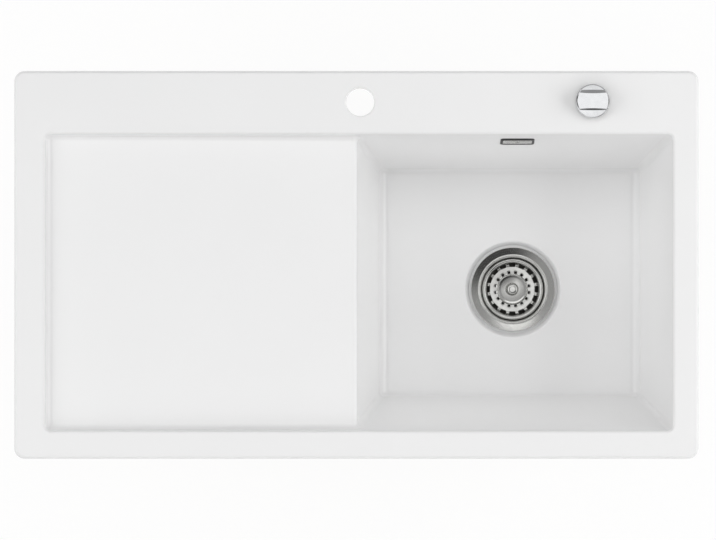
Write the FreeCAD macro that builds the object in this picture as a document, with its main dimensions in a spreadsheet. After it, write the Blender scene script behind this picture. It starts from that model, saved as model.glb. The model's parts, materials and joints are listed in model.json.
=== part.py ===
import FreeCAD, Part
import math
import os
import re

import Sketcher

# A ceramic inset sink with a drainer, one bowl, and a basket waste that a knob on the ledge opens by a cable.
# Millimetres. X runs along the sink towards the bowl, Y to the rear ledge, Z up.
# The origin is the middle of the rim's underside, which rests on the worktop.

V = FreeCAD.Vector
X_AXIS = V(1, 0, 0)
Y_AXIS = V(0, 1, 0)
Z_AXIS = V(0, 0, 1)

doc = FreeCAD.newDocument("ceramic_sink")
sheet = doc.addObject("Spreadsheet::Sheet", "dims")

sizes = {
    # ceramic body
    "sink_length": 900,
    "sink_width": 510,
    "rim_height": 18,
    "rim_corner": 14,
    "seat_width": 14,
    "seat_relief": 1,
    "rim_edge_round": 4.5,
    "well_edge_round": 4,
    "left_rim": 40,
    "right_rim": 33.5,
    "rear_ledge": 82.5,
    "front_rim": 36.5,
    "bowl_length": 416.5,
    "bowl_depth": 190,
    "drainer_depth": 12,
    "drainer_fall": 4,
    "drainer_lean": 3,
    "side_lean": 33,
    "front_lean": 41.5,
    "rear_lean": 43.5,
    "lip_round": 6,
    "drainer_round": 10,
    "floor_round": 14,
    "well_round": 8,
    "wall": 14,
    "floor_wall": 16,
    "tray_depth": 10,
    "shell_round": 18,
    "overrun": 10,
    "tap_hole_x": 5,
    "tap_hole_inset": 41,
    "tap_hole_radius": 18.5,
    "tap_lip_round": 2,
    # waste seat in the bowl floor
    "waste_margin": 203.5,
    "waste_y": -33,
    "dish_radius": 65.5,
    "dish_round": 2.5,
    "seat_radius": 60,
    "seat_drop": 6,
    "waste_hole_radius": 45,
    # pressed steel flange and its gaskets
    "flange_radius": 57,
    "flange_edge_drop": 1,
    "flange_fall": 3,
    "sheet_metal": 1.2,
    "neck_gap": 0.8,
    "neck_depth": 15,
    "cup_radius": 37.8,
    "cup_depth": 38,
    "drain_hole_radius": 8,
    "drain_hole_pitch": 24,
    "gasket_margin": 1,
    "pot_gasket_thickness": 3,
    # strainer basket
    "basket_radius": 41,
    "basket_gap": 0.6,
    "basket_bottom_radius": 31,
    "basket_depth": 18,
    "seal_thickness": 2,
    "seal_width": 2.6,
    "rest_gap": 0.3,
    "bead_radius": 19.5,
    "bead_height": 1,
    "slot_width": 6,
    "slot_inner": 31.6,
    "slot_outer": 35.4,
    "hole_radius": 1.6,
    "hole_pitch": 23,
    "hole_phase": 14,
    "knob_rivet_radius": 2,
    "knob_stem_radius": 3.5,
    "knob_stem_height": 6,
    "basket_knob_radius": 8,
    "basket_knob_height": 7.5,
    "socket_radius": 6.5,
    "socket_height": 3,
    "socket_roof": 1,
    "socket_gap": 0.3,
    # lift pin and hollow clamp screw
    "pin_radius": 3,
    "run_gap": 0.06,
    "screw_radius": 5,
    "screw_head_radius": 9,
    "screw_head_height": 3.5,
    "fit_gap": 0.05,
    # waste pot
    "pot_flange_radius": 58,
    "pot_flange_thickness": 4,
    "pot_radius": 46,
    "pot_wall": 3,
    "pot_depth": 92,
    "cone_height": 13,
    "outlet_radius": 23.9,
    "outlet_wall": 3.9,
    "outlet_length": 25,
    "boss_radius": 10,
    "boss_top": 50,
    "boss_height": 16,
    "spoke_thickness": 4,
    "spoke_height": 14,
    "spoke_root": 1,
    # crank in the pot wall
    "crank_throw": 14,
    "lift_travel": 8,
    "crank_drop": 81,
    "shaft_radius": 3,
    "shaft_inner_end": 8,
    "shaft_outer_end": 70,
    "port_radius": 9,
    "port_end": 58,
    "port_start": 30,
    "bush_radius": 6,
    "bush_start": 44,
    "bush_length": 12,
    "port_throat_radius": 4,
    "shaft_seal_length": 2,
    "gland_radius": 12,
    "gland_wall": 3,
    "loose_gap": 0.3,
    "finger_half_width": 4,
    "finger_half_height": 2,
    "finger_hub_radius": 6,
    "arm_start": 64,
    "arm_thickness": 5,
    "arm_half_width": 3.5,
    "arm_hub_radius": 7,
    "nipple_radius": 3,
    "nipple_play": 0.9,
    "nipple_overhang": 6,
    "wire_line_offset": 3.5,
    # cable, its bracket and ferrule
    "bracket_thickness": 3,
    "bracket_start": 46.5,
    "bracket_front": 13,
    "bracket_rear": 36,
    "bracket_top": 13,
    "bracket_bottom": 22,
    "bracket_foot_height": 17,
    "bracket_foot_end": 80,
    "ferrule_radius": 4,
    "ferrule_flange_radius": 6.5,
    "ferrule_flange": 2,
    "ferrule_nose": 4,
    "ferrule_cup_radius": 5,
    "ferrule_cup_length": 8,
    "ferrule_stop": 2,
    "sleeve_radius": 3,
    "sleeve_bore_radius": 1.2,
    "wire_radius": 0.9,
    "wire_tail": 10,
    "wire_part_gap": 2,
    # control on the ledge
    "control_margin": 140,
    "control_inset": 40,
    "control_hole_radius": 17.5,
    "control_gasket_thickness": 1,
    "control_flange_radius": 21.5,
    "control_flange": 3,
    "control_shank_radius": 16.5,
    "control_drop": 50,
    "washer_radius": 25,
    "washer_thickness": 2,
    "nut_corner_radius": 27,
    "nut_height": 8,
    "spindle_radius": 5,
    "spindle_collar_radius": 7,
    "spindle_collar": 2,
    "spindle_drop": 32,
    "chamber_half": 8.3,
    "chamber_roof_drop": 6,
    "slider_half": 8,
    "slider_top_drop": 22,
    "slider_base": 4.5,
    "knob_radius": 22,
    "knob_gap": 0.4,
    "knob_disc": 5,
    "knob_bar": 9,
    "knob_waist": 10,
    "knob_hollow_radius": 181,
    "knob_edge_round": 1.2,
    "spindle_in_knob": 10,
    "grub_radius": 1.95,
    "grub_length": 7,
    "cap_thickness": 4,
    "cap_neck_radius": 6,
    "cap_neck_length": 12,
    "cap_seat_depth": 8,
    "cap_screw_pitch": 12.4,
    "cap_screw_radius": 1.45,
    "cap_screw_head_radius": 2.8,
    "cap_screw_head": 2,
    "cap_screw_grip": 8,
    # overflow
    "overflow_drop": 39.5,
    "cover_width": 45,
    "cover_height": 30,
    "cover_thickness": 2,
    "cover_round": 5,
    "cover_slot_height": 4,
    "cover_slot_offset": 9.5,
    "collar_width": 36,
    "collar_height": 26,
    "collar_wall": 1.5,
    "collar_depth": 8,
    "wall_slot_width": 38,
    "wall_slot_height": 27,
    "wall_slot_round": 1.5,
    "overflow_gasket_thickness": 3,
    "elbow_flange_width": 54,
    "elbow_flange_height": 41,
    "elbow_flange": 4,
    "elbow_width": 46,
    "elbow_height": 33,
    "elbow_depth": 36,
    "elbow_wall": 3,
    "elbow_spigot_length": 28,
    "cover_screw_radius": 2.45,
    "cover_screw_head_radius": 4,
    "cover_screw_head": 1.5,
    "cover_screw_length": 36,
    "cover_boss_radius": 5,
    "pipe_radius": 12.5,
    "pipe_wall": 2,
    "pipe_bend": 55,
    "pipe_insert": 14,
    "socket_depth": 15,
    "spigot_radius": 15.5,
    "pipe_port_drop": 48,
    "pipe_port_end": 72,
    "pipe_nut_radius": 20,
    "pipe_nut_length": 14,
    "pipe_nut_lip": 3,
    "pipe_seal_length": 2,
}
slot_count = 16
drain_hole_count = 6

for row, (name, size) in enumerate(sizes.items(), start=1):
    sheet.set(f"A{row}", name)
    sheet.set(f"B{row}", str(size))
    sheet.setAlias(f"B{row}", name)
doc.recompute()


def link(text):
    """An expression in which every size of the sheet is a reference to its cell."""
    def refer(word):
        return "dims." + word.group() if word.group() in sizes else word.group()
    return re.sub(r"[a-z_]+", refer, text)


def value(text):
    """What an expression on the sheet's sizes comes to."""
    return float(sheet.evalExpression(link(text)))


def bind(thing, **settings):
    """Binds properties to expressions on the sheet."""
    for setting, text in settings.items():
        thing.setExpression(setting, link(text))


def place(thing, at, rotation=None):
    """Turns a piece, then binds where its own origin lies."""
    if rotation:
        thing.Placement = FreeCAD.Placement(V(), rotation)
    for letter, text in zip("xyz", at):
        thing.setExpression(f"Placement.Base.{letter}", link(text))
    return thing


def along(axis):
    """The turn that lays a piece's own Z on an axis."""
    return FreeCAD.Rotation(Z_AXIS, axis)


def sketch_on(body, name, plane):
    """An empty sketch on one of the body's own origin planes."""
    sketch = body.newObject("Sketcher::SketchObject", name)
    planes = [feature for feature in body.Origin.OriginFeatures if feature.Role == plane]
    sketch.AttachmentSupport = [(planes[0], "")]
    sketch.MapMode = "FlatFace"
    return sketch


def outline(sketch, points):
    """A closed outline of straight sides, each corner bound to the sheet."""
    corners = [V(value(x), value(y), 0) for x, y in points]
    for start, end in zip(corners, corners[1:] + corners[:1]):
        sketch.addGeometry(Part.LineSegment(start, end))
    for side, pair in enumerate(points):
        sketch.addConstraint(Sketcher.Constraint("Coincident", (side - 1) % len(points), 2, side, 1))
        for kind, text in zip(("DistanceX", "DistanceY"), pair):
            at = sketch.addConstraint(Sketcher.Constraint(kind, -1, 1, side, 1, value(text)))
            sketch.setExpression(f"Constraints[{at}]", link(text))


def turned(label, points, at, rotation=None):
    """A turned piece: half its outline, as radius and height, spun about its own Z."""
    body = doc.addObject("PartDesign::Body", label)
    sketch = sketch_on(body, label + "_outline", "XZ_Plane")
    outline(sketch, points)
    spin = body.newObject("PartDesign::Revolution", label + "_spin")
    spin.Profile = sketch
    spin.ReferenceAxis = (sketch, ["V_Axis"])
    spin.Angle = 360.0
    return place(body, at, rotation)


def ring(label, inner, outer, low, high, at, rotation=None):
    """A turned ring between two radii and two heights."""
    return turned(label, [(inner, low), (outer, low), (outer, high), (inner, high)], at, rotation)


def pierce(body, name, draw, count):
    """Cuts a sketch down through a body, once or in a ring of equal cuts."""
    before = body.Tip
    sketch = sketch_on(body, name + "_sketch", "XY_Plane")
    draw(sketch)
    pocket = body.newObject("PartDesign::Pocket", name)
    pocket.Profile = sketch
    pocket.Type = "ThroughAll"
    pattern = body.newObject("PartDesign::PolarPattern", name + "_ring")
    pattern.Originals = [pocket]
    pattern.Axis = (sketch, ["N_Axis"])
    pattern.Angle = 360.0
    pattern.Occurrences = count
    body.Tip = pattern
    doc.recompute()
    if pattern.Shape.Volume >= before.Shape.Volume:
        raise RuntimeError(name + " cuts nothing")


def round_hole(radius, x, y):
    """Draws a round hole whose centre is bound to the sheet."""
    def draw(sketch):
        sketch.addGeometry(Part.Circle(V(value(x), value(y), 0), Z_AXIS, value(radius)))
        for kind, text in (("DistanceX", x), ("DistanceY", y)):
            at = sketch.addConstraint(Sketcher.Constraint(kind, -1, 1, 0, 3, value(text)))
            sketch.setExpression(f"Constraints[{at}]", link(text))
        at = sketch.addConstraint(Sketcher.Constraint("Radius", 0, value(radius)))
        sketch.setExpression(f"Constraints[{at}]", link(radius))
    return draw


def prism(label, plane, points, length):
    """An outline on an origin plane, extruded the same way to both sides of it."""
    body = doc.addObject("PartDesign::Body", label)
    sketch = sketch_on(body, label + "_outline", plane)
    outline(sketch, points)
    pad = body.newObject("PartDesign::Pad", label + "_pad")
    pad.Profile = sketch
    pad.Midplane = True
    bind(pad, Length=length)
    return body


def block(label, x, y, z):
    """A box between two places on each axis."""
    box = doc.addObject("Part::Box", label)
    for side, (low, high) in zip(("Length", "Width", "Height"), (x, y, z)):
        bind(box, **{side: f"({high}) - ({low})"})
    return place(box, (x[0], y[0], z[0]))


def rod(label, radius, at, length, axis=Z_AXIS):
    """A plain cylinder from a place along an axis."""
    cylinder = doc.addObject("Part::Cylinder", label)
    bind(cylinder, Radius=radius, Height=length)
    return place(cylinder, at, along(axis))


def joined(label, *pieces):
    """Pieces made as one."""
    fuse = doc.addObject("Part::MultiFuse", label)
    fuse.Shapes = list(pieces)
    return fuse


def cut(label, base, *tools):
    """A piece with others cut out of it."""
    result = doc.addObject("Part::Cut", label)
    result.Base = base
    result.Tool = tools[0] if len(tools) == 1 else joined(label + "_cuts", *tools)
    return result


def rounded(label, base, *choices):
    """A piece with some edges rounded: each choice is a radius and a test that picks its edges."""
    doc.recompute()
    picked = []
    for radius, chosen in choices:
        for number, edge in enumerate(base.Shape.Edges, start=1):
            if chosen(edge):
                picked.append((number, value(radius), value(radius)))
    if not picked:
        raise RuntimeError(label + " rounds nothing")
    fillet = doc.addObject("Part::Fillet", label)
    fillet.Base = base
    fillet.Edges = picked
    doc.recompute()
    return fillet


def near(first, second):
    """Whether two lengths agree to a thousandth."""
    return math.isclose(first, second, abs_tol=1e-3)


def runs_along(axis):
    """Picks straight edges along an axis."""
    def chosen(edge):
        start, end = edge.Vertexes[0].Point, edge.Vertexes[-1].Point
        return edge.Curve.TypeId == "Part::GeomLine" and near((end - start).cross(axis).Length, 0)
    return chosen


def level(edge, height):
    """Whether a whole edge lies at one height."""
    return near(edge.BoundBox.ZMin, height) and near(edge.BoundBox.ZMax, height)


# Ceramic body
LEFT = "left_rim - sink_length / 2"
RIGHT = "sink_length / 2 - right_rim"
FRONT = "front_rim - sink_width / 2"
REAR = "sink_width / 2 - rear_ledge"
LIP = f"{RIGHT} - bowl_length"
FLOOR = "rim_height - bowl_depth"
UNDERSIDE = f"{FLOOR} - floor_wall"

slab = block(
    "rim_slab",
    ("-sink_length / 2", "sink_length / 2"),
    ("-sink_width / 2", "sink_width / 2"),
    ("0", "rim_height"),
)
# The rim rests on a narrow seat along its outer edge. Inside the seat, its underside is relieved.
rim = cut(
    "seated_rim",
    rounded("rim_corners", slab, ("rim_corner", runs_along(Z_AXIS))),
    block(
        "seat_recess",
        ("seat_width - sink_length / 2", "sink_length / 2 - seat_width"),
        ("seat_width - sink_width / 2", "sink_width / 2 - seat_width"),
        ("-overrun", "seat_relief"),
    ),
)
tray = rounded(
    "drainer_tray",
    block("drainer_block", (LEFT, LIP), (FRONT, REAR), ("-tray_depth", "seat_relief")),
    ("well_round", runs_along(Z_AXIS)),
)

# The bowl's outside leans as its inside does, one wall thickness further out.
# A wedge is drawn lying down, its Y upright in the sink and its Z towards the front.
shell = doc.addObject("Part::Wedge", "bowl_block")
bind(
    shell,
    Ymin=UNDERSIDE,
    Ymax="seat_relief",
    Xmin=f"{LIP} + side_lean - wall",
    Xmax=f"{RIGHT} - side_lean + wall",
    Zmin=f"-({REAR} - rear_lean * (bowl_depth + floor_wall) / bowl_depth + wall)",
    Zmax=f"-({FRONT} + front_lean * (bowl_depth + floor_wall) / bowl_depth - wall)",
    X2min=f"{LIP} - wall",
    X2max=f"{RIGHT} + wall",
    Z2min=f"-({REAR} - rear_lean * (rim_height - seat_relief) / bowl_depth + wall)",
    Z2max=f"-({FRONT} + front_lean * (rim_height - seat_relief) / bowl_depth - wall)",
)
shell.Placement = FreeCAD.Placement(V(), FreeCAD.Rotation(X_AXIS, 90))
shell_rounded = rounded(
    "bowl_shell", shell, ("shell_round", lambda edge: not level(edge, value("seat_relief")))
)
blank = joined("sink_blank", rim, tray, shell_rounded)

# The well is the common hollow of drainer and bowl. Its section along the sink is one outline,
# and one pair of leaning planes closes both at the front and at the rear.
MOUTH = "rim_height + overrun"
SHELF_END = "rim_height - drainer_depth"
SHELF_LIP = "rim_height - drainer_depth - drainer_fall"
section = prism(
    "well_section",
    "XZ_Plane",
    [
        (f"{LEFT} - drainer_lean * overrun / drainer_depth", MOUTH),
        (f"{LEFT} + drainer_lean", SHELF_END),
        (LIP, SHELF_LIP),
        (f"{LIP} + side_lean", FLOOR),
        (f"{RIGHT} - side_lean", FLOOR),
        (f"{RIGHT} + side_lean * overrun / bowl_depth", MOUTH),
    ],
    "sink_width + overrun",
)


def cross_edge(x, z):
    """Picks the edge across the sink at a place of the section."""
    def chosen(edge):
        middle = edge.BoundBox.Center
        return runs_along(Y_AXIS)(edge) and near(middle.x, value(x)) and near(middle.z, value(z))
    return chosen


section_rounded = rounded(
    "well_section_rounded",
    section,
    ("drainer_round", cross_edge(f"{LEFT} + drainer_lean", SHELF_END)),
    ("lip_round", cross_edge(LIP, SHELF_LIP)),
    ("floor_round", cross_edge(f"{LIP} + side_lean", FLOOR)),
    ("floor_round", cross_edge(f"{RIGHT} - side_lean", FLOOR)),
)
sides = prism(
    "well_sides",
    "YZ_Plane",
    [
        (f"{FRONT} - front_lean * overrun / bowl_depth", MOUTH),
        (f"{FRONT} + front_lean * (bowl_depth + overrun) / bowl_depth", f"{FLOOR} - overrun"),
        (f"{REAR} - rear_lean * (bowl_depth + overrun) / bowl_depth", f"{FLOOR} - overrun"),
        (f"{REAR} + rear_lean * overrun / bowl_depth", MOUTH),
    ],
    "sink_length + overrun",
)
well_sharp = doc.addObject("Part::Common", "well_sharp")
well_sharp.Base = section_rounded
well_sharp.Tool = sides


def on_end_plane(edge):
    """Picks edges that lie in the front or rear plane of the well, below its mouth."""
    points = [edge.valueAt(share) for share in (edge.FirstParameter, edge.LastParameter)]
    fall = [(value("rim_height") - point.z) / value("bowl_depth") for point in points]
    front = all(near(p.y, value(FRONT) + value("front_lean") * f) for p, f in zip(points, fall))
    rear = all(near(p.y, value(REAR) - value("rear_lean") * f) for p, f in zip(points, fall))
    return (front or rear) and not level(edge, value(MOUTH))


well = rounded("well", well_sharp, ("well_round", on_end_plane))
hollowed = cut("hollowed_sink", blank, well)


def rim_edge(outside):
    """Picks the rim's outer top edge, or the edge of the well."""
    def chosen(edge):
        box = edge.BoundBox
        outer = (
            box.XMin < value(f"{LEFT} - left_rim / 2")
            or box.XMax > value(f"{RIGHT} + right_rim / 2")
            or box.YMin < value(f"{FRONT} - front_rim / 2")
            or box.YMax > value(f"{REAR} + rear_ledge / 2")
        )
        return level(edge, value("rim_height")) and outer == outside
    return chosen


glazed = rounded(
    "glazed_edges", hollowed, ("rim_edge_round", rim_edge(True)), ("well_edge_round", rim_edge(False))
)

# Holes through the ceramic: tap, control, overflow and waste.
LEDGE = "sink_width / 2"
CONTROL = ("sink_length / 2 - control_margin", f"{LEDGE} - control_inset", "0")
TAP = ("tap_hole_x", f"{LEDGE} - tap_hole_inset", "0")
WASTE = (f"{RIGHT} - waste_margin", "waste_y", FLOOR)
OVERFLOW = (WASTE[0], f"{REAR} - rear_lean * overflow_drop / bowl_depth", "rim_height - overflow_drop")
lean = math.atan(value("rear_lean / bowl_depth"))
# On the rear wall, a piece's own Y runs up the wall and its own Z comes straight out of it into the bowl.
ON_WALL = FreeCAD.Rotation(X_AXIS, 90 - math.degrees(lean))
LEAN_COS = "(1 / sqrt(1 + (rear_lean / bowl_depth) ^ 2))"
LEAN_SIN = f"(rear_lean / bowl_depth * {LEAN_COS})"
WALL_BACK = f"-wall * {LEAN_COS}"

tap_bore = rod("tap_bore", "tap_hole_radius", (TAP[0], TAP[1], "-overrun"), "rim_height + 2 * overrun")
control_bore = rod(
    "control_bore", "control_hole_radius", (CONTROL[0], CONTROL[1], "-overrun"), "rim_height + 2 * overrun"
)
wall_slot = rounded(
    "wall_slot",
    block(
        "wall_slot_block",
        ("-wall_slot_width / 2", "wall_slot_width / 2"),
        ("-wall_slot_height / 2", "wall_slot_height / 2"),
        (f"{WALL_BACK} - overrun", "overrun"),
    ),
    ("wall_slot_round", runs_along(Z_AXIS)),
)
place(wall_slot, OVERFLOW, ON_WALL)
waste_hole = turned(
    "waste_hole",
    [
        ("0", "overrun"),
        ("dish_radius", "overrun"),
        ("dish_radius", "0"),
        ("seat_radius", "-seat_drop"),
        ("waste_hole_radius", "-seat_drop"),
        ("waste_hole_radius", "-floor_wall - overrun"),
        ("0", "-floor_wall - overrun"),
    ],
    WASTE,
)
drilled = cut("drilled_sink", glazed, tap_bore, control_bore, wall_slot, waste_hole)


def round_edge(radius, height):
    """Picks a full round edge of one radius at one height."""
    def chosen(edge):
        return level(edge, value(height)) and near(edge.BoundBox.XLength, 2 * value(radius))
    return chosen


sink_body = rounded(
    "sink_body",
    drilled,
    ("tap_lip_round", round_edge("tap_hole_radius", "rim_height")),
    ("dish_round", round_edge("dish_radius", FLOOR)),
)

# Steel flange of the waste, drawn down through the floor to a cup with drain holes
NECK = "waste_hole_radius - neck_gap - sheet_metal"
FLANGE_FOOT = "-flange_edge_drop - flange_fall"
waste_flange = turned(
    "waste_flange",
    [
        ("flange_radius", "-flange_edge_drop"),
        (NECK, FLANGE_FOOT),
        (NECK, "-neck_depth"),
        ("cup_radius", "-neck_depth"),
        ("cup_radius", "-cup_depth"),
        ("screw_radius + fit_gap", "-cup_depth"),
        ("screw_radius + fit_gap", "-cup_depth - sheet_metal"),
        ("cup_radius + sheet_metal", "-cup_depth - sheet_metal"),
        ("cup_radius + sheet_metal", "-neck_depth - sheet_metal"),
        (f"{NECK} + sheet_metal", "-neck_depth - sheet_metal"),
        (f"{NECK} + sheet_metal", f"{FLANGE_FOOT} - sheet_metal"),
        ("flange_radius", "-flange_edge_drop - sheet_metal"),
    ],
    WASTE,
)
pierce(waste_flange, "drain_hole", round_hole("drain_hole_radius", "drain_hole_pitch", "0"), drain_hole_count)

SLOPE = f"flange_fall / (flange_radius - ({NECK} + sheet_metal))"
flange_gasket = turned(
    "flange_gasket",
    [
        ("waste_hole_radius + gasket_margin", "-seat_drop"),
        ("flange_radius - gasket_margin", "-seat_drop"),
        ("flange_radius - gasket_margin", f"-flange_edge_drop - sheet_metal - gasket_margin * {SLOPE}"),
        (
            "waste_hole_radius + gasket_margin",
            f"-flange_edge_drop - sheet_metal - (flange_radius - waste_hole_radius - gasket_margin) * {SLOPE}",
        ),
    ],
    WASTE,
)
POT_TOP = "-floor_wall - pot_gasket_thickness"
pot_gasket = ring(
    "pot_gasket",
    "waste_hole_radius + 2 * gasket_margin",
    "pot_flange_radius - gasket_margin",
    POT_TOP,
    "-floor_wall",
    WASTE,
)

# Strainer basket with its seal, knob and socket
SEAL_FOOT = "-neck_depth + rest_gap"
RIM_FOOT = f"{SEAL_FOOT} + seal_thickness"
RIM_TOP = f"{RIM_FOOT} + sheet_metal"
BASKET_FOOT = f"{RIM_TOP} - basket_depth"
BASKET_FLOOR = f"{BASKET_FOOT} + sheet_metal"
strainer_basket = turned(
    "strainer_basket",
    [
        ("basket_radius", RIM_FOOT),
        ("basket_radius", RIM_TOP),
        ("cup_radius - basket_gap - sheet_metal", RIM_TOP),
        ("basket_bottom_radius - sheet_metal", BASKET_FLOOR),
        ("bead_radius + bead_height", BASKET_FLOOR),
        ("bead_radius", f"{BASKET_FLOOR} + bead_height"),
        ("bead_radius - bead_height", BASKET_FLOOR),
        ("knob_rivet_radius + fit_gap", BASKET_FLOOR),
        ("knob_rivet_radius + fit_gap", BASKET_FOOT),
        ("basket_bottom_radius", BASKET_FOOT),
        ("cup_radius - basket_gap", RIM_FOOT),
    ],
    WASTE,
)
pierce(
    strainer_basket,
    "wall_slots",
    lambda sketch: outline(
        sketch,
        [
            ("slot_inner", "-slot_width / 2"),
            ("slot_outer", "-slot_width / 2"),
            ("slot_outer", "slot_width / 2"),
            ("slot_inner", "slot_width / 2"),
        ],
    ),
    slot_count,
)
pierce(
    strainer_basket,
    "strainer_holes",
    round_hole("hole_radius", "hole_pitch * sin(hole_phase)", "hole_pitch * cos(hole_phase)"),
    slot_count,
)
basket_seal = ring(
    "basket_seal",
    "basket_radius - seal_width",
    "basket_radius - fit_gap",
    SEAL_FOOT,
    RIM_FOOT,
    WASTE,
)
basket_knob = turned(
    "basket_knob",
    [
        ("0", BASKET_FOOT),
        ("knob_rivet_radius", BASKET_FOOT),
        ("knob_rivet_radius", BASKET_FLOOR),
        ("knob_stem_radius", BASKET_FLOOR),
        ("knob_stem_radius", f"{BASKET_FLOOR} + knob_stem_height"),
        ("basket_knob_radius", f"{BASKET_FLOOR} + knob_stem_height + basket_knob_height / 4"),
        ("basket_knob_radius", f"{BASKET_FLOOR} + knob_stem_height + basket_knob_height * 3 / 4"),
        ("basket_knob_radius * 3 / 4", f"{BASKET_FLOOR} + knob_stem_height + basket_knob_height"),
        ("0", f"{BASKET_FLOOR} + knob_stem_height + basket_knob_height"),
    ],
    WASTE,
)
basket_socket = turned(
    "basket_socket",
    [
        ("pin_radius + socket_gap", f"{BASKET_FOOT} - socket_height"),
        ("socket_radius", f"{BASKET_FOOT} - socket_height"),
        ("socket_radius", BASKET_FOOT),
        ("0", BASKET_FOOT),
        ("0", f"{BASKET_FOOT} - socket_roof"),
        ("pin_radius + socket_gap", f"{BASKET_FOOT} - socket_roof"),
    ],
    WASTE,
)

# Hollow screw that clamps the flange and the pot together, and the pin that slides in it
clamp_screw = turned(
    "clamp_screw",
    [
        ("pin_radius + run_gap", "-cup_depth + screw_head_height"),
        ("screw_head_radius", "-cup_depth + screw_head_height"),
        ("screw_head_radius", "-cup_depth"),
        ("screw_radius", "-cup_depth"),
        ("screw_radius", "-boss_top - boss_height"),
        ("pin_radius + run_gap", "-boss_top - boss_height"),
    ],
    WASTE,
)
# At rest the lift finger's round tip hangs half the travel below the shaft, just under the pin.
PIN_FOOT = "-crank_drop - lift_travel / 2 + pin_radius + rest_gap"
PIN_TOP = f"{BASKET_FOOT} - socket_roof - rest_gap"
lift_pin = turned(
    "lift_pin",
    [("0", PIN_FOOT), ("pin_radius", PIN_FOOT), ("pin_radius", PIN_TOP), ("0", PIN_TOP)],
    WASTE,
)

# Moulded waste pot with its outlet, screw boss, shaft port and overflow port
CRANK_REACH = "sqrt(crank_throw ^ 2 - (lift_travel / 2) ^ 2)"
SHAFT_Y = f"-{CRANK_REACH}"
POT_FOOT = "-pot_depth - cone_height"
pot_outside = turned(
    "pot_outside",
    [
        ("0", POT_TOP),
        ("pot_flange_radius", POT_TOP),
        ("pot_flange_radius", f"{POT_TOP} - pot_flange_thickness"),
        ("pot_radius", f"{POT_TOP} - pot_flange_thickness"),
        ("pot_radius", "-pot_depth"),
        ("outlet_radius", POT_FOOT),
        ("outlet_radius", f"{POT_FOOT} - outlet_length"),
        ("0", f"{POT_FOOT} - outlet_length"),
    ],
    ("0", "0", "0"),
)
pot_inside = turned(
    "pot_inside",
    [
        ("0", f"{POT_TOP} + overrun"),
        ("pot_radius - pot_wall", f"{POT_TOP} + overrun"),
        ("pot_radius - pot_wall", "-pot_depth"),
        ("outlet_radius - outlet_wall", POT_FOOT),
        ("outlet_radius - outlet_wall", f"{POT_FOOT} - outlet_length - overrun"),
        ("0", f"{POT_FOOT} - outlet_length - overrun"),
    ],
    ("0", "0", "0"),
)
shaft_port = rod(
    "shaft_port", "port_radius", ("port_start", SHAFT_Y, "-crank_drop"), "port_end - port_start", X_AXIS
)
pipe_port = rod(
    "pipe_port", "spigot_radius", ("0", "port_start", "-pipe_port_drop"), "pipe_port_end - port_start", Y_AXIS
)
pot_shell = cut("pot_shell", joined("pot_solid", pot_outside, shaft_port, pipe_port), pot_inside)
boss = rod("screw_boss", "boss_radius", ("0", "0", "-boss_top - boss_height"), "boss_height")
spokes = []
for turn in (45, -45):
    spoke = doc.addObject("Part::Box", f"spoke_{len(spokes)}")
    bind(
        spoke,
        Length="2 * (pot_radius - pot_wall + spoke_root)",
        Width="spoke_thickness",
        Height="spoke_height",
    )
    swing = math.radians(turn)
    reach = "(pot_radius - pot_wall + spoke_root)"
    place(
        spoke,
        (
            f"-{reach} * {math.cos(swing)} + spoke_thickness / 2 * {math.sin(swing)}",
            f"-{reach} * {math.sin(swing)} - spoke_thickness / 2 * {math.cos(swing)}",
            "-boss_top - boss_height",
        ),
        FreeCAD.Rotation(Z_AXIS, turn),
    )
    spokes.append(spoke)
waste_body = cut(
    "waste_body",
    joined("pot_and_boss", pot_shell, boss, *spokes),
    rod(
        "boss_bore",
        "screw_radius + fit_gap",
        ("0", "0", "-boss_top - boss_height - overrun"),
        "boss_height + 2 * overrun",
    ),
    rod(
        "port_throat",
        "port_throat_radius",
        ("port_start", SHAFT_Y, "-crank_drop"),
        "port_end - port_start",
        X_AXIS,
    ),
    rod(
        "bush_bore",
        "bush_radius + fit_gap",
        ("bush_start", SHAFT_Y, "-crank_drop"),
        "port_end - bush_start + overrun",
        X_AXIS,
    ),
    rod(
        "pipe_bore",
        "pipe_radius - pipe_wall",
        ("0", "port_start", "-pipe_port_drop"),
        "pipe_port_end - port_start",
        Y_AXIS,
    ),
    rod(
        "pipe_socket",
        "pipe_radius + fit_gap",
        ("0", "pipe_port_end - socket_depth", "-pipe_port_drop"),
        "socket_depth + overrun",
        Y_AXIS,
    ),
)
place(waste_body, WASTE)

# Crank that lifts the pin: a shaft through the pot wall, a finger inside and an arm outside
SHAFT = (WASTE[0], f"{WASTE[1]} - {CRANK_REACH}", f"{FLOOR} - crank_drop")
half_swing = math.degrees(math.asin(value("lift_travel / (2 * crank_throw)")))
AT_REST = FreeCAD.Rotation(X_AXIS, -half_swing)
ON_SHAFT = along(X_AXIS)
crank_shaft = turned(
    "crank_shaft",
    [
        ("0", "-shaft_inner_end"),
        ("shaft_radius", "-shaft_inner_end"),
        ("shaft_radius", "shaft_outer_end"),
        ("0", "shaft_outer_end"),
    ],
    SHAFT,
    ON_SHAFT,
)
FINGER = ("-finger_half_width", "finger_half_width")
lift_finger = cut(
    "lift_finger",
    joined(
        "finger_solid",
        rod("finger_hub", "finger_hub_radius", (FINGER[0], "0", "0"), "2 * finger_half_width", X_AXIS),
        block("finger_bar", FINGER, ("0", "crank_throw"), ("-finger_half_height", "finger_half_height")),
        rod("finger_tip", "pin_radius", (FINGER[0], "crank_throw", "0"), "2 * finger_half_width", X_AXIS),
    ),
    rod(
        "finger_bore",
        "shaft_radius + fit_gap",
        (f"{FINGER[0]} - overrun", "0", "0"),
        "2 * (finger_half_width + overrun)",
        X_AXIS,
    ),
)
place(lift_finger, SHAFT, AT_REST)
ARM = ("arm_start", "arm_start + arm_thickness")
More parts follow.
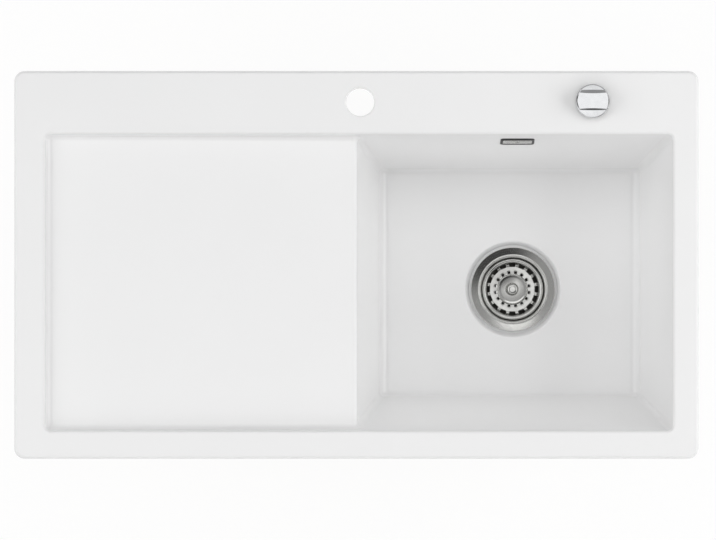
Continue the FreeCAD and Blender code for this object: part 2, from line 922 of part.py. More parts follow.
crank_arm = cut(
    "crank_arm",
    joined(
        "arm_solid",
        rod("arm_hub", "arm_hub_radius", (ARM[0], "0", "0"), "arm_thickness", X_AXIS),
        block("arm_bar", ARM, ("-arm_half_width", "arm_half_width"), ("-crank_throw", "0")),
        rod("arm_eye", "arm_hub_radius", (ARM[0], "0", "-crank_throw"), "arm_thickness", X_AXIS),
    ),
    rod(
        "arm_bore",
        "shaft_radius + fit_gap",
        (f"{ARM[0]} - overrun", "0", "0"),
        "arm_thickness + 2 * overrun",
        X_AXIS,
    ),
    rod(
        "arm_eye_bore",
        "nipple_radius + nipple_play",
        (f"{ARM[0]} - overrun", "0", "-crank_throw"),
        "arm_thickness + 2 * overrun",
        X_AXIS,
    ),
)
place(crank_arm, SHAFT, AT_REST)
shaft_bush = ring(
    "shaft_bush",
    "shaft_radius + run_gap",
    "bush_radius",
    "bush_start",
    "bush_start + bush_length",
    SHAFT,
    ON_SHAFT,
)
shaft_seal = ring(
    "shaft_seal",
    "shaft_radius + run_gap",
    "bush_radius - fit_gap",
    "bush_start + bush_length",
    "bush_start + bush_length + shaft_seal_length",
    SHAFT,
    ON_SHAFT,
)
BRACKET_FACE = "bracket_start + bracket_thickness"
gland_nut = turned(
    "gland_nut",
    [
        ("port_radius + fit_gap", BRACKET_FACE),
        ("gland_radius", BRACKET_FACE),
        ("gland_radius", "port_end + loose_gap + gland_wall"),
        ("shaft_radius + loose_gap", "port_end + loose_gap + gland_wall"),
        ("shaft_radius + loose_gap", "port_end + loose_gap"),
        ("port_radius + fit_gap", "port_end + loose_gap"),
    ],
    SHAFT,
    ON_SHAFT,
)

# Bracket under the gland nut that holds the end of the cable's sleeve
WIRE_X = "arm_start + arm_thickness + wire_line_offset"
WIRE_Z = f"-{CRANK_REACH}"
BRACKET = ("bracket_start", BRACKET_FACE)
cable_bracket = cut(
    "cable_bracket",
    joined(
        "bracket_solid",
        block(
            "bracket_plate",
            BRACKET,
            ("-bracket_front", "bracket_rear"),
            ("-bracket_bottom", "bracket_top"),
        ),
        block(
            "bracket_foot",
            ("bracket_start", "bracket_foot_end"),
            ("bracket_rear - bracket_thickness", "bracket_rear"),
            ("-bracket_bottom", "bracket_foot_height - bracket_bottom"),
        ),
    ),
    rod(
        "bracket_eye",
        "port_radius + fit_gap",
        ("bracket_start - overrun", "0", "0"),
        "bracket_thickness + 2 * overrun",
        X_AXIS,
    ),
    rod(
        "bracket_hole",
        "ferrule_radius + fit_gap",
        (WIRE_X, "bracket_rear - overrun", WIRE_Z),
        "2 * overrun",
        Y_AXIS,
    ),
)
place(cable_bracket, SHAFT)
WIRE_LINE = (f"{SHAFT[0]} + {WIRE_X}", f"{SHAFT[1]} + bracket_rear", f"{SHAFT[2]} - {CRANK_REACH}")
cable_ferrule = turned(
    "cable_ferrule",
    [
        ("sleeve_bore_radius", "-ferrule_nose"),
        ("ferrule_radius", "-ferrule_nose"),
        ("ferrule_radius", "0"),
        ("ferrule_flange_radius", "0"),
        ("ferrule_flange_radius", "ferrule_flange"),
        ("ferrule_cup_radius", "ferrule_flange"),
        ("ferrule_cup_radius", "ferrule_flange + ferrule_cup_length"),
        ("sleeve_radius + fit_gap", "ferrule_flange + ferrule_cup_length"),
        ("sleeve_radius + fit_gap", "ferrule_flange + ferrule_stop"),
        ("sleeve_bore_radius", "ferrule_flange + ferrule_stop"),
    ],
    WIRE_LINE,
    along(Y_AXIS),
)
SLEEVE_END = f"{WIRE_LINE[1]} + ferrule_flange + ferrule_stop"
# The wire's cast end sits in the arm's eye. At rest the arm hangs half the travel to the front.
NIPPLE_Y = "-lift_travel / 2"
wire_end = joined(
    "wire_end",
    rod(
        "wire_nipple",
        "nipple_radius",
        ("arm_start - loose_gap", NIPPLE_Y, WIRE_Z),
        "arm_thickness + nipple_overhang + loose_gap",
        X_AXIS,
    ),
    rod(
        "wire_tail_rod",
        "wire_radius",
        (WIRE_X, NIPPLE_Y, WIRE_Z),
        "lift_travel / 2 + bracket_rear + ferrule_flange + ferrule_stop + wire_tail",
        Y_AXIS,
    ),
)
place(wire_end, SHAFT)

# Control on the ledge: a body clamped through the ceramic, with a spindle that draws a square slider up
RIM_SEAT = "rim_height + control_gasket_thickness"
control_gasket = ring(
    "control_gasket", "control_hole_radius", "control_flange_radius", "rim_height", RIM_SEAT, CONTROL
)
CONTROL_TOP = f"{RIM_SEAT} + control_flange"
control_turned = turned(
    "control_turned",
    [
        ("spindle_radius + run_gap", CONTROL_TOP),
        ("control_flange_radius", CONTROL_TOP),
        ("control_flange_radius", RIM_SEAT),
        ("control_shank_radius", RIM_SEAT),
        ("control_shank_radius", "-control_drop"),
        ("spindle_radius + run_gap", "-control_drop"),
    ],
    ("0", "0", "0"),
)
CHAMBER = ("-chamber_half", "chamber_half")
control_body = cut(
    "control_body",
    control_turned,
    block("chamber", CHAMBER, CHAMBER, ("-control_drop - overrun", "-chamber_roof_drop")),
    *[
        rod(
            f"cap_screw_bore_{side}",
            "cap_screw_radius + fit_gap",
            (f"{sign} * cap_screw_pitch", "0", "-control_drop - overrun"),
            "cap_screw_grip + overrun",
        )
        for side, sign in (("right", 1), ("left", -1))
    ],
)
place(control_body, CONTROL)
WASHER_FOOT = "seat_relief - washer_thickness"
control_washer = ring(
    "control_washer", "control_shank_radius + loose_gap", "washer_radius", WASHER_FOOT, "seat_relief", CONTROL
)
nut_prism = doc.addObject("Part::Prism", "nut_prism")
nut_prism.Polygon = 6
bind(nut_prism, Circumradius="nut_corner_radius", Height="nut_height")
place(nut_prism, ("0", "0", f"{WASHER_FOOT} - nut_height"))
control_nut = cut(
    "control_nut",
    nut_prism,
    rod(
        "nut_bore",
        "control_shank_radius + fit_gap",
        ("0", "0", f"{WASHER_FOOT} - nut_height - overrun"),
        "nut_height + 2 * overrun",
    ),
)
place(control_nut, CONTROL)
KNOB_FOOT = f"{CONTROL_TOP} + knob_gap"
COLLAR_TOP = "-chamber_roof_drop - loose_gap"
control_spindle = turned(
    "control_spindle",
    [
        ("0", "-spindle_drop"),
        ("spindle_radius", "-spindle_drop"),
        ("spindle_radius", f"{COLLAR_TOP} - spindle_collar"),
        ("spindle_collar_radius", f"{COLLAR_TOP} - spindle_collar"),
        ("spindle_collar_radius", COLLAR_TOP),
        ("spindle_radius", COLLAR_TOP),
        ("spindle_radius", f"{KNOB_FOOT} + spindle_in_knob"),
        ("0", f"{KNOB_FOOT} + spindle_in_knob"),
    ],
    CONTROL,
)
SLIDER = ("-slider_half", "slider_half")
SLIDER_BORE_END = "-spindle_drop - lift_travel - wire_part_gap"
SLIDER_FOOT = f"{SLIDER_BORE_END} - slider_base"
pull_slider = cut(
    "pull_slider",
    block("slider_block", SLIDER, SLIDER, (SLIDER_FOOT, "-slider_top_drop")),
    rod(
        "slider_bore",
        "spindle_radius + loose_gap",
        ("0", "0", SLIDER_BORE_END),
        f"-slider_top_drop - ({SLIDER_BORE_END}) + overrun",
    ),
)
place(pull_slider, CONTROL)
CAP_FOOT = "-control_drop - cap_thickness"
NECK_FOOT = f"{CAP_FOOT} - cap_neck_length"
SLEEVE_TOP = f"{NECK_FOOT} + cap_seat_depth"
control_cap = cut(
    "control_cap",
    turned(
        "cap_turned",
        [
            ("sleeve_bore_radius", "-control_drop"),
            ("control_shank_radius", "-control_drop"),
            ("control_shank_radius", CAP_FOOT),
            ("cap_neck_radius", CAP_FOOT),
            ("cap_neck_radius", NECK_FOOT),
            ("sleeve_radius + fit_gap", NECK_FOOT),
            ("sleeve_radius + fit_gap", SLEEVE_TOP),
            ("sleeve_bore_radius", SLEEVE_TOP),
        ],
        ("0", "0", "0"),
    ),
    *[
        rod(
            f"cap_hole_{side}",
            "cap_screw_radius + fit_gap",
            (f"{sign} * cap_screw_pitch", "0", f"{CAP_FOOT} - overrun"),
            "cap_thickness + 2 * overrun",
        )
        for side, sign in (("right", 1), ("left", -1))
    ],
)
place(control_cap, CONTROL)
cap_screws = doc.addObject("Part::Compound", "cap_screws")
cap_screws.Links = [
    turned(
        f"cap_screw_{side}",
        [
            ("0", f"{CAP_FOOT} - cap_screw_head"),
            ("cap_screw_head_radius", f"{CAP_FOOT} - cap_screw_head"),
            ("cap_screw_head_radius", CAP_FOOT),
            ("cap_screw_radius", CAP_FOOT),
            ("cap_screw_radius", "-control_drop + cap_screw_grip - loose_gap"),
            ("0", "-control_drop + cap_screw_grip - loose_gap"),
        ],
        (f"{sign} * cap_screw_pitch", "0", "0"),
    )
    for side, sign in (("right", 1), ("left", -1))
]
place(cap_screws, CONTROL)
slider_wire = rod(
    "slider_wire",
    "wire_radius",
    (CONTROL[0], CONTROL[1], f"{SLEEVE_TOP} - wire_tail"),
    f"{SLIDER_FOOT} - ({SLEEVE_TOP}) + wire_tail",
)

# Knob: a disc with a raised grip bar, drawn in at its waist
DISC_TOP = f"{KNOB_FOOT} + knob_disc"
KNOB_TOP = f"{DISC_TOP} + knob_bar"
knob_sharp = cut(
    "knob_sharp",
    rod("knob_blank", "knob_radius", ("0", "0", KNOB_FOOT), "knob_disc + knob_bar"),
    *[
        rod(
            f"knob_hollow_{side}",
            "knob_hollow_radius",
            ("0", f"{sign} * (knob_waist + knob_hollow_radius)", DISC_TOP),
            "knob_bar + overrun",
        )
        for side, sign in (("rear", 1), ("front", -1))
    ],
)
control_knob = cut(
    "control_knob",
    rounded(
        "knob_rounded",
        knob_sharp,
        ("knob_edge_round", lambda edge: level(edge, value(KNOB_TOP))),
    ),
    rod(
        "knob_bore",
        "spindle_radius + fit_gap",
        ("0", "0", f"{KNOB_FOOT} - overrun"),
        "spindle_in_knob + loose_gap + overrun",
    ),
    rod(
        "grub_bore",
        "grub_radius + fit_gap",
        ("0", "0", f"{KNOB_FOOT} + knob_disc / 2"),
        "knob_radius + overrun",
        Y_AXIS,
    ),
)
place(control_knob, CONTROL)
knob_grub_screw = turned(
    "knob_grub_screw",
    [
        ("0", "spindle_radius + fit_gap"),
        ("grub_radius", "spindle_radius + fit_gap"),
        ("grub_radius", "spindle_radius + fit_gap + grub_length"),
        ("0", "spindle_radius + fit_gap + grub_length"),
    ],
    (CONTROL[0], CONTROL[1], f"{KNOB_FOOT} + knob_disc / 2"),
    along(Y_AXIS),
)


# Cable from the control to the crank, held in the cap's neck and in the ferrule
def smooth_path(points, skip_start, skip_end):
    """Straight runs joined by tangent arcs, each as large as its two runs allow."""
    corner_share = 0.45
    edges = []
    last = points[0] + (points[1] - points[0]).normalize() * skip_start
    for before, corner, after in zip(points, points[1:], points[2:]):
        back, ahead = before - corner, after - corner
        reach = corner_share * min(back.Length, ahead.Length)
        turn = math.pi - back.getAngle(ahead)
        print("cable bend radius", round(reach / math.tan(turn / 2), 1))
        back.normalize()
        ahead.normalize()
        start, end = corner + back * reach, corner + ahead * reach
        centre_way = (back + ahead).normalize()
        radius = reach / math.tan(turn / 2)
        middle = corner + centre_way * (radius / math.cos(turn / 2) - radius)
        edges.append(Part.LineSegment(last, start).toShape())
        edges.append(Part.Arc(start, middle, end).toShape())
        last = end
    stop = points[-1] + (points[-2] - points[-1]).normalize() * skip_end
    edges.append(Part.LineSegment(last, stop).toShape())
    return Part.Wire(edges)


def drawn_along(label, path, radius):
    """A round rod swept along a path of runs and arcs."""
    start = path.Edges[0].valueAt(path.Edges[0].FirstParameter)
    way = path.Edges[0].tangentAt(path.Edges[0].FirstParameter)
    circle = Part.Wire(Part.Circle(start, way, radius).toShape())
    solid = path.makePipeShell([circle], True, False)
    expected = math.pi * radius ** 2 * path.Length
    print(label, "volume over section times length", round(solid.Volume / expected, 4))
    return solid


cable_top = V(*[value(text) for text in (CONTROL[0], CONTROL[1], SLEEVE_TOP)])
cable_foot = V(*[value(text) for text in (WIRE_LINE[0], SLEEVE_END, WIRE_LINE[2])])
first_run = V(0, 0, -50)
last_run = V(0, 52, 0)
between = [V(304, 211, -165), V(296, 199, -216), V(290, 158, -250), V(286.5, 105, -263.5)]
route = [cable_top, cable_top + first_run, *between, cable_foot + last_run, cable_foot]
whole = smooth_path(route, 0, 0)
cable_sleeve = doc.addObject("Part::Feature", "cable_sleeve")
cable_sleeve.Shape = drawn_along("cable_sleeve", whole, value("sleeve_radius")).cut(
    drawn_along("sleeve_bore", whole, value("sleeve_bore_radius"))
)
inner = smooth_path(
    route, value("wire_tail + wire_part_gap"), value("wire_tail + lift_travel + wire_part_gap")
)
cable_wire = doc.addObject("Part::Feature", "cable_wire")
cable_wire.Shape = drawn_along("cable_wire", inner, value("wire_radius"))

# Overflow: a cover in the bowl, and behind the wall an elbow that the cover's screw draws up to the ceramic
HALF_COVER = ("-cover_width / 2", "cover_width / 2")
HALF_HEIGHT = ("-cover_height / 2", "cover_height / 2")
collar = cut(
    "cover_collar",
    block(
        "collar_outside",
        ("-collar_width / 2", "collar_width / 2"),
        ("-collar_height / 2", "collar_height / 2"),
        ("-collar_depth", "0"),
    ),
    block(
        "collar_inside",
        ("collar_wall - collar_width / 2", "collar_width / 2 - collar_wall"),
        ("collar_wall - collar_height / 2", "collar_height / 2 - collar_wall"),
        ("-collar_depth - overrun", "0"),
    ),
)
cover_plate = rounded(
    "cover_plate",
    block("cover_block", HALF_COVER, HALF_HEIGHT, ("0", "cover_thickness")),
    ("cover_round", runs_along(Z_AXIS)),
)
cover_slots = [
    block(
        f"cover_slot_{side}",
        ("collar_wall - collar_width / 2", "collar_width / 2 - collar_wall"),
        (
            f"{sign} * cover_slot_offset - cover_slot_height / 2",
            f"{sign} * cover_slot_offset + cover_slot_height / 2",
        ),
        ("-overrun", "overrun"),
    )
    for side, sign in (("upper", 1), ("lower", -1))
]
overflow_cover = cut(
    "overflow_cover",
    joined("cover_solid", cover_plate, collar),
    *cover_slots,
    rod("cover_screw_hole", "cover_screw_radius + fit_gap", ("0", "0", "-overrun"), "2 * overrun"),
)
place(overflow_cover, OVERFLOW, ON_WALL)
overflow_screw = turned(
    "overflow_screw",
    [
        ("0", "cover_thickness + cover_screw_head"),
        ("cover_screw_head_radius / 2", "cover_thickness + cover_screw_head"),
        ("cover_screw_head_radius", "cover_thickness + cover_screw_head / 3"),
        ("cover_screw_head_radius", "cover_thickness"),
        ("cover_screw_radius", "cover_thickness"),
        ("cover_screw_radius", "cover_thickness - cover_screw_length"),
        ("0", "cover_thickness - cover_screw_length"),
    ],
    OVERFLOW,
    ON_WALL,
)
GASKET_BACK = f"{WALL_BACK} - overflow_gasket_thickness"
FLANGE_BACK = f"{GASKET_BACK} - elbow_flange"
ELBOW_BACK = f"{FLANGE_BACK} - elbow_depth"


def centred(size):
    """A span of one size about the middle."""
    return (f"-{size} / 2", f"{size} / 2")


overflow_gasket = cut(
    "overflow_gasket",
    block(
        "gasket_outside",
        centred("elbow_flange_width"),
        centred("elbow_flange_height"),
        (GASKET_BACK, WALL_BACK),
    ),
    block(
        "gasket_inside",
        centred("wall_slot_width"),
        centred("wall_slot_height"),
        (f"{GASKET_BACK} - overrun", "overrun"),
    ),
)
place(overflow_gasket, OVERFLOW, ON_WALL)
SPIGOT_Z = f"{FLANGE_BACK} - elbow_depth / 2"
SPIGOT_FOOT = "-elbow_height / 2 - elbow_spigot_length"
DOWN_WALL = V(0, -1, 0)
elbow_outside = joined(
    "elbow_outside",
    block(
        "elbow_flange_block",
        centred("elbow_flange_width"),
        centred("elbow_flange_height"),
        (FLANGE_BACK, GASKET_BACK),
    ),
    block("elbow_box", centred("elbow_width"), centred("elbow_height"), (ELBOW_BACK, GASKET_BACK)),
    rod("elbow_spigot", "spigot_radius", ("0", "0", SPIGOT_Z), f"-({SPIGOT_FOOT})", DOWN_WALL),
)
elbow_hollow = cut(
    "elbow_hollow",
    elbow_outside,
    block(
        "elbow_room",
        ("elbow_wall - elbow_width / 2", "elbow_width / 2 - elbow_wall"),
        ("elbow_wall - elbow_height / 2", "elbow_height / 2 - elbow_wall"),
        (f"{ELBOW_BACK} + elbow_wall", f"{GASKET_BACK} + overrun"),
    ),
    rod(
        "elbow_throat",
        "pipe_radius - pipe_wall",
        ("0", "0", SPIGOT_Z),
        f"-({SPIGOT_FOOT}) + overrun",
        DOWN_WALL,
    ),
    rod(
        "elbow_socket",
        "pipe_radius + fit_gap",
        ("0", f"{SPIGOT_FOOT} + socket_depth", SPIGOT_Z),
        "socket_depth + overrun",
        DOWN_WALL,
    ),
)
overflow_elbow = cut(
    "overflow_elbow",
    joined(
        "elbow_with_boss",
        elbow_hollow,
        rod("cover_boss", "cover_boss_radius", ("0", "0", ELBOW_BACK), f"{GASKET_BACK} - ({ELBOW_BACK})"),
    ),
    rod(
        "cover_boss_bore",
        "cover_screw_radius + fit_gap",
        ("0", "0", "cover_thickness - cover_screw_length - loose_gap"),
        "cover_screw_length",
    ),
)
place(overflow_elbow, OVERFLOW, ON_WALL)

# Rigid pipe from the elbow, down along the wall and forward under the bowl to the pot
wall_placement = FreeCAD.Placement(V(*[value(text) for text in OVERFLOW]), ON_WALL)
pipe_start = wall_placement.multVec(
    V(0, value(f"{SPIGOT_FOOT} + pipe_insert"), value(SPIGOT_Z))
)
pipe_way = ON_WALL.multVec(DOWN_WALL)
PIPE_END = (WASTE[0], f"{WASTE[1]} + pipe_port_end - pipe_insert", f"{FLOOR} - pipe_port_drop")
pipe_end = V(*[value(text) for text in PIPE_END])
pipe_corner = pipe_start + pipe_way * ((pipe_end.z - pipe_start.z) / pipe_way.z)
bend_turn = pipe_way.getAngle(V(0, -1, 0))
bend_reach = value("pipe_bend") * math.tan(bend_turn / 2)
bend_start = pipe_corner - pipe_way * bend_reach
bend_end = pipe_corner - Y_AXIS * bend_reach
bend_back = (Y_AXIS * -1 - pipe_way).normalize()
bend_middle = pipe_corner + bend_back * (value("pipe_bend") / math.cos(bend_turn / 2) - value("pipe_bend"))
pipe_path = Part.Wire(
    [
        Part.LineSegment(pipe_start, bend_start).toShape(),
        Part.Arc(bend_start, bend_middle, bend_end).toShape(),
        Part.LineSegment(bend_end, pipe_end).toShape(),
    ]
)
overflow_pipe = doc.addObject("Part::Feature", "overflow_pipe")
overflow_pipe.Shape = drawn_along("overflow_pipe", pipe_path, value("pipe_radius")).cut(
    drawn_along("pipe_bore", pipe_path, value("pipe_radius - pipe_wall"))
)

# Union nut and seal at each end of the pipe, drawn outwards from the end of the spigot
def union(side, at, rotation):
    """The nut that draws a pipe's seal against its spigot, and that seal."""
    end = "pipe_seal_length + pipe_nut_lip"
    nut = turned(
        f"{side}_pipe_nut",
        [
            ("spigot_radius + fit_gap", f"{end} - pipe_nut_length"),
            ("pipe_nut_radius", f"{end} - pipe_nut_length"),
            ("pipe_nut_radius", end),
            ("pipe_radius + loose_gap", end),
            ("pipe_radius + loose_gap", "pipe_seal_length"),
            ("spigot_radius + fit_gap", "pipe_seal_length"),
        ],
        at,
        rotation,
    )
    seal = ring(
        f"{side}_pipe_seal", "pipe_radius + fit_gap", "spigot_radius", "0", "pipe_seal_length", at, rotation
    )
    return [nut, seal]


upper_union = union(
    "upper",
    (
        OVERFLOW[0],
        f"{OVERFLOW[1]} + ({SPIGOT_FOOT}) * {LEAN_SIN} - ({SPIGOT_Z}) * {LEAN_COS}",
        f"{OVERFLOW[2]} + ({SPIGOT_FOOT}) * {LEAN_COS} + ({SPIGOT_Z}) * {LEAN_SIN}",
    ),
    along(pipe_way),
)
lower_union = union(
    "lower", (WASTE[0], f"{WASTE[1]} + pipe_port_end", f"{FLOOR} - pipe_port_drop"), along(Y_AXIS)
)

# Every piece is whole before any is written.
pieces = [
    sink_body,
    waste_flange,
    flange_gasket,
    pot_gasket,
    waste_body,
    clamp_screw,
    strainer_basket,
    basket_seal,
    basket_knob,
    basket_socket,
    lift_pin,
    crank_shaft,
    lift_finger,
    crank_arm,
    shaft_bush,
    shaft_seal,
    gland_nut,
    cable_bracket,
    cable_ferrule,
    cable_sleeve,
    cable_wire,
    wire_end,
    control_gasket,
    control_body,
    control_washer,
    control_nut,
    control_spindle,
    control_knob,
    knob_grub_screw,
    pull_slider,
    slider_wire,
    control_cap,
    cap_screws,
    overflow_cover,
    overflow_screw,
    overflow_gasket,
    overflow_elbow,
    overflow_pipe,
    *upper_union,
    *lower_union,
]
doc.recompute()
for thing in doc.Objects:
    if {"Invalid", "Error"} & set(thing.State):
        raise RuntimeError(f"{thing.Label} failed: {thing.State}")
for piece in pieces:
    if piece.Shape.isNull() or not piece.Shape.isValid() or not piece.Shape.Solids:
        raise RuntimeError(piece.Label + " is not a whole solid")
os.makedirs("parts", exist_ok=True)
for piece in pieces:
    piece.Shape.exportStep(f"parts/{piece.Label}.step")
print(len(pieces), "pieces written")
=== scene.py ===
import json
import math

import bmesh
import bpy
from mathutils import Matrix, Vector


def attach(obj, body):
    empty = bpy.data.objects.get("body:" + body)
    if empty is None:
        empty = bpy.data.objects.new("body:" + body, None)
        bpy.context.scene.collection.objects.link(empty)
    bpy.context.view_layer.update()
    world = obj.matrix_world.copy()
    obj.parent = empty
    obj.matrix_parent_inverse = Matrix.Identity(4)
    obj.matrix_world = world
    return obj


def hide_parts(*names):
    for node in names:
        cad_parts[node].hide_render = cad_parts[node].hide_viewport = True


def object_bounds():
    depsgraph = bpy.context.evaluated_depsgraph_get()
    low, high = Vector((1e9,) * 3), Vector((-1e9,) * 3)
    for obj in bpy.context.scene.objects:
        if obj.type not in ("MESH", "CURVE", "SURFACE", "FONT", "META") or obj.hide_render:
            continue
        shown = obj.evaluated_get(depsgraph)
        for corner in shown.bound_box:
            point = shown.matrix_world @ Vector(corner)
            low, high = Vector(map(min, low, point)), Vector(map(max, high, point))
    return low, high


# A white ceramic inset sink with a drainer, one bowl and a basket waste worked by a knob, in metres.
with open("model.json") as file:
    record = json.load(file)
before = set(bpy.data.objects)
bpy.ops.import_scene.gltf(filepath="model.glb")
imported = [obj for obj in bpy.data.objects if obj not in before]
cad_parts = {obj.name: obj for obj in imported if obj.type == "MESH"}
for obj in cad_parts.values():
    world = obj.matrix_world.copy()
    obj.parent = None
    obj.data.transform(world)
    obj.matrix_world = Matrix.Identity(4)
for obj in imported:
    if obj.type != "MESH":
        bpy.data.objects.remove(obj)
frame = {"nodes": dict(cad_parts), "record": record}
cad_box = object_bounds()


# Sink body: slip-cast fireclay with a thick white glaze, fired in one piece and let into the worktop.
# The glaze runs over the rim, the drainer and the bowl. The underside is bare fired clay.
def linear(code):
    """A colour written as sRGB hex, as the linear colour that shaders take."""
    shares = [int(code[at:at + 2], 16) / 255 for at in (1, 3, 5)]
    return [s / 12.92 if s <= 0.04045 else ((s + 0.055) / 1.055) ** 2.4 for s in shares] + [1]


def add(tree, kind, sockets={}, **settings):
    """A shader node with its settings, its sockets set to a value or linked from another node."""
    made = tree.nodes.new("ShaderNode" + kind)
    for name, setting in settings.items():
        setattr(made, name, setting)
    for socket, given in sockets.items():
        if isinstance(given, bpy.types.NodeSocket):
            tree.links.new(given, made.inputs[socket])
        else:
            made.inputs[socket].default_value = given
    return made


def surface(name):
    """A new material, its node tree, its shader and its object coordinates."""
    made = bpy.data.materials.new(name)
    made.use_nodes = True
    tree = made.node_tree
    return made, tree, tree.nodes["Principled BSDF"], add(tree, "TexCoord").outputs["Object"]


def glazed_ceramic():
    """White glaze, faintly clouded and rippled, that stops where the clay faces down."""
    made, tree, shader, place = surface("glazed_ceramic")
    cloud_size, ripple_size, ripple_depth, clay_grain = 0.15, 0.012, 0.00002, 0.004
    glaze_stop, clay_start, glaze_roughness, clay_roughness = -0.03, -0.12, 0.12, 0.8
    cloud = add(tree, "TexNoise", {"Vector": place, "Scale": 1 / cloud_size}).outputs["Fac"]
    glaze_shades = {0: cloud, 6: linear("#FBFBFB"), 7: linear("#F8F8F8")}
    glaze = add(tree, "Mix", glaze_shades, data_type="RGBA").outputs[2]
    grain = add(tree, "TexNoise", {"Vector": place, "Scale": 1 / clay_grain, "Detail": 6}).outputs["Fac"]
    clay_shades = {0: grain, 6: linear("#DAD3C6"), 7: linear("#CFC7B8")}
    clay = add(tree, "Mix", clay_shades, data_type="RGBA").outputs[2]
    up = add(tree, "SeparateXYZ", {0: add(tree, "NewGeometry").outputs["Normal"]}).outputs["Z"]
    turned_down = {"Value": up, "From Min": glaze_stop, "From Max": clay_start}
    bare = add(tree, "MapRange", turned_down).outputs["Result"]
    colour = add(tree, "Mix", {0: bare, 6: glaze, 7: clay}, data_type="RGBA").outputs[2]
    tree.links.new(colour, shader.inputs["Base Color"])
    dulled = {"Value": bare, "To Min": glaze_roughness, "To Max": clay_roughness}
    tree.links.new(add(tree, "MapRange", dulled).outputs["Result"], shader.inputs["Roughness"])
    shader.inputs["Coat Weight"].default_value = 0.25
    ripple = add(tree, "TexNoise", {"Vector": place, "Scale": 1 / ripple_size}).outputs["Fac"]
    bump = add(tree, "Bump", {"Height": ripple, "Distance": ripple_depth, "Strength": 1})
    tree.links.new(bump.outputs["Normal"], shader.inputs["Normal"])
    return made


merge_reach, flat_turn, sharp_turn = 1e-6, math.radians(0.1), math.radians(32)


def shown(name, work, finish, node):
    """Turns mesh work into a smooth piece that stands for a CAD node, with its body and finish."""
    bmesh.ops.recalc_face_normals(work, faces=work.faces)
    for face in work.faces:
        face.smooth = True
    mesh = bpy.data.meshes.new(name)
    work.to_mesh(mesh)
    work.free()
    # A copy of a CAD mesh brings its own normals, which would hide the sharp edges that are set here.
    if mesh.has_custom_normals:
        mesh.attributes.remove(mesh.attributes["custom_normal"])
    mesh.set_sharp_from_angle(angle=sharp_turn)
    mesh.materials.append(finish)
    piece = bpy.data.objects.new(name, mesh)
    bpy.context.scene.collection.objects.link(piece)
    bodies = frame["record"]["behaviour"]["bodies"]
    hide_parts(node)
    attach(piece, next(body for body, held in bodies.items() if node in held))
    return piece


def rounded_edges(work, turn, reach, segments):
    """Rounds the edges of mesh work that turn by more than an angle."""
    sharp = [e for e in work.edges if len(e.link_faces) == 2 and e.calc_face_angle() > turn]
    bmesh.ops.bevel(
        work,
        geom=sharp,
        offset=reach,
        affect="EDGES",
        segments=segments,
        profile=0.5,
        material=-1,
        clamp_overlap=True,
    )


def merged(node):
    """Mesh work with a copy of a CAD node's triangles, merged."""
    work = bmesh.new()
    work.from_mesh(frame["nodes"][node].data)
    bmesh.ops.remove_doubles(work, verts=work.verts, dist=merge_reach)
    return work


def softened_copy(node, edge):
    """Mesh work with a copy of a CAD node whose edges are softly rounded."""
    work = merged(node)
    bmesh.ops.dissolve_limit(work, angle_limit=flat_turn, verts=work.verts, edges=work.edges)
    rounded_edges(work, sharp_turn, edge, segments=2)
    return work


def dressed(node, finish, edge=0.0):
    """A smooth copy of a CAD node, with its edges softly rounded where a size is given for them."""
    work = softened_copy(node, edge) if edge else merged(node)
    piece = shown(node + "_shown", work, finish, node)
    piece.modifiers.new("even_faces", "WEIGHTED_NORMAL").keep_sharp = True


dressed("sink_body", glazed_ceramic())


# Waste flange: stainless sheet, pressed to a cup with a beaded rim and polished.
# It seats on a rubber gasket in the bowl's floor, and a second gasket seals the pot below it.
def patchy_metal(name, light, dark, patch, detail, gloss, haze):
    """Bare or plated metal whose shade and roughness vary in soft patches about one size across."""
    made, tree, shader, place = surface(name)
    patches = {"Vector": place, "Scale": 1 / patch, "Detail": detail}
    share = add(tree, "TexNoise", patches).outputs["Fac"]
    shade = add(tree, "Mix", {0: share, 6: linear(light), 7: linear(dark)}, data_type="RGBA").outputs[2]
    roughness = add(tree, "MapRange", {"Value": share, "To Min": gloss, "To Max": haze}).outputs["Result"]
    shader.inputs["Metallic"].default_value = 1
    tree.links.new(shade, shader.inputs["Base Color"])
    tree.links.new(roughness, shader.inputs["Roughness"])
    return made


def black_rubber():
    """Moulded rubber with a dull, slightly dusty skin. Its grain is drawn coarse enough to show."""
    made, tree, shader, place = surface("black_rubber")
    grain_size, grain_depth = 0.0006, 0.00003
    grain = add(tree, "TexNoise", {"Vector": place, "Scale": 1 / grain_size, "Detail": 3}).outputs["Fac"]
    dust = add(tree, "Mix", {0: grain, 6: linear("#1B1B1B"), 7: linear("#2A2A29")}, data_type="RGBA")
    tree.links.new(dust.outputs[2], shader.inputs["Base Color"])
    shader.inputs["Roughness"].default_value = 0.75
    bump = add(tree, "Bump", {"Height": grain, "Distance": grain_depth, "Strength": 1})
    tree.links.new(bump.outputs["Normal"], shader.inputs["Normal"])
    return made


def softened(corners, steps=5):
    """An outline of (radius, height, rounding) corners, each drawn as a short curve."""
    points = []
    for before, corner, after in zip(corners[-1:] + corners[:-1], corners, corners[1:] + corners[:1]):
        middle = Vector(corner[:2])
        start = middle + (Vector(before[:2]) - middle).normalized() * corner[2]
        end = middle + (Vector(after[:2]) - middle).normalized() * corner[2]
        for step in range(steps + 1) if corner[2] else [0]:
            share = step / steps
            points.append(start.lerp(middle, share).lerp(middle.lerp(end, share), share))
    return points


def closed(work, ring):
    """The edges of a closed ring of vertices."""
    return [work.edges.new(pair) for pair in zip(ring, ring[1:] + ring[:1])]


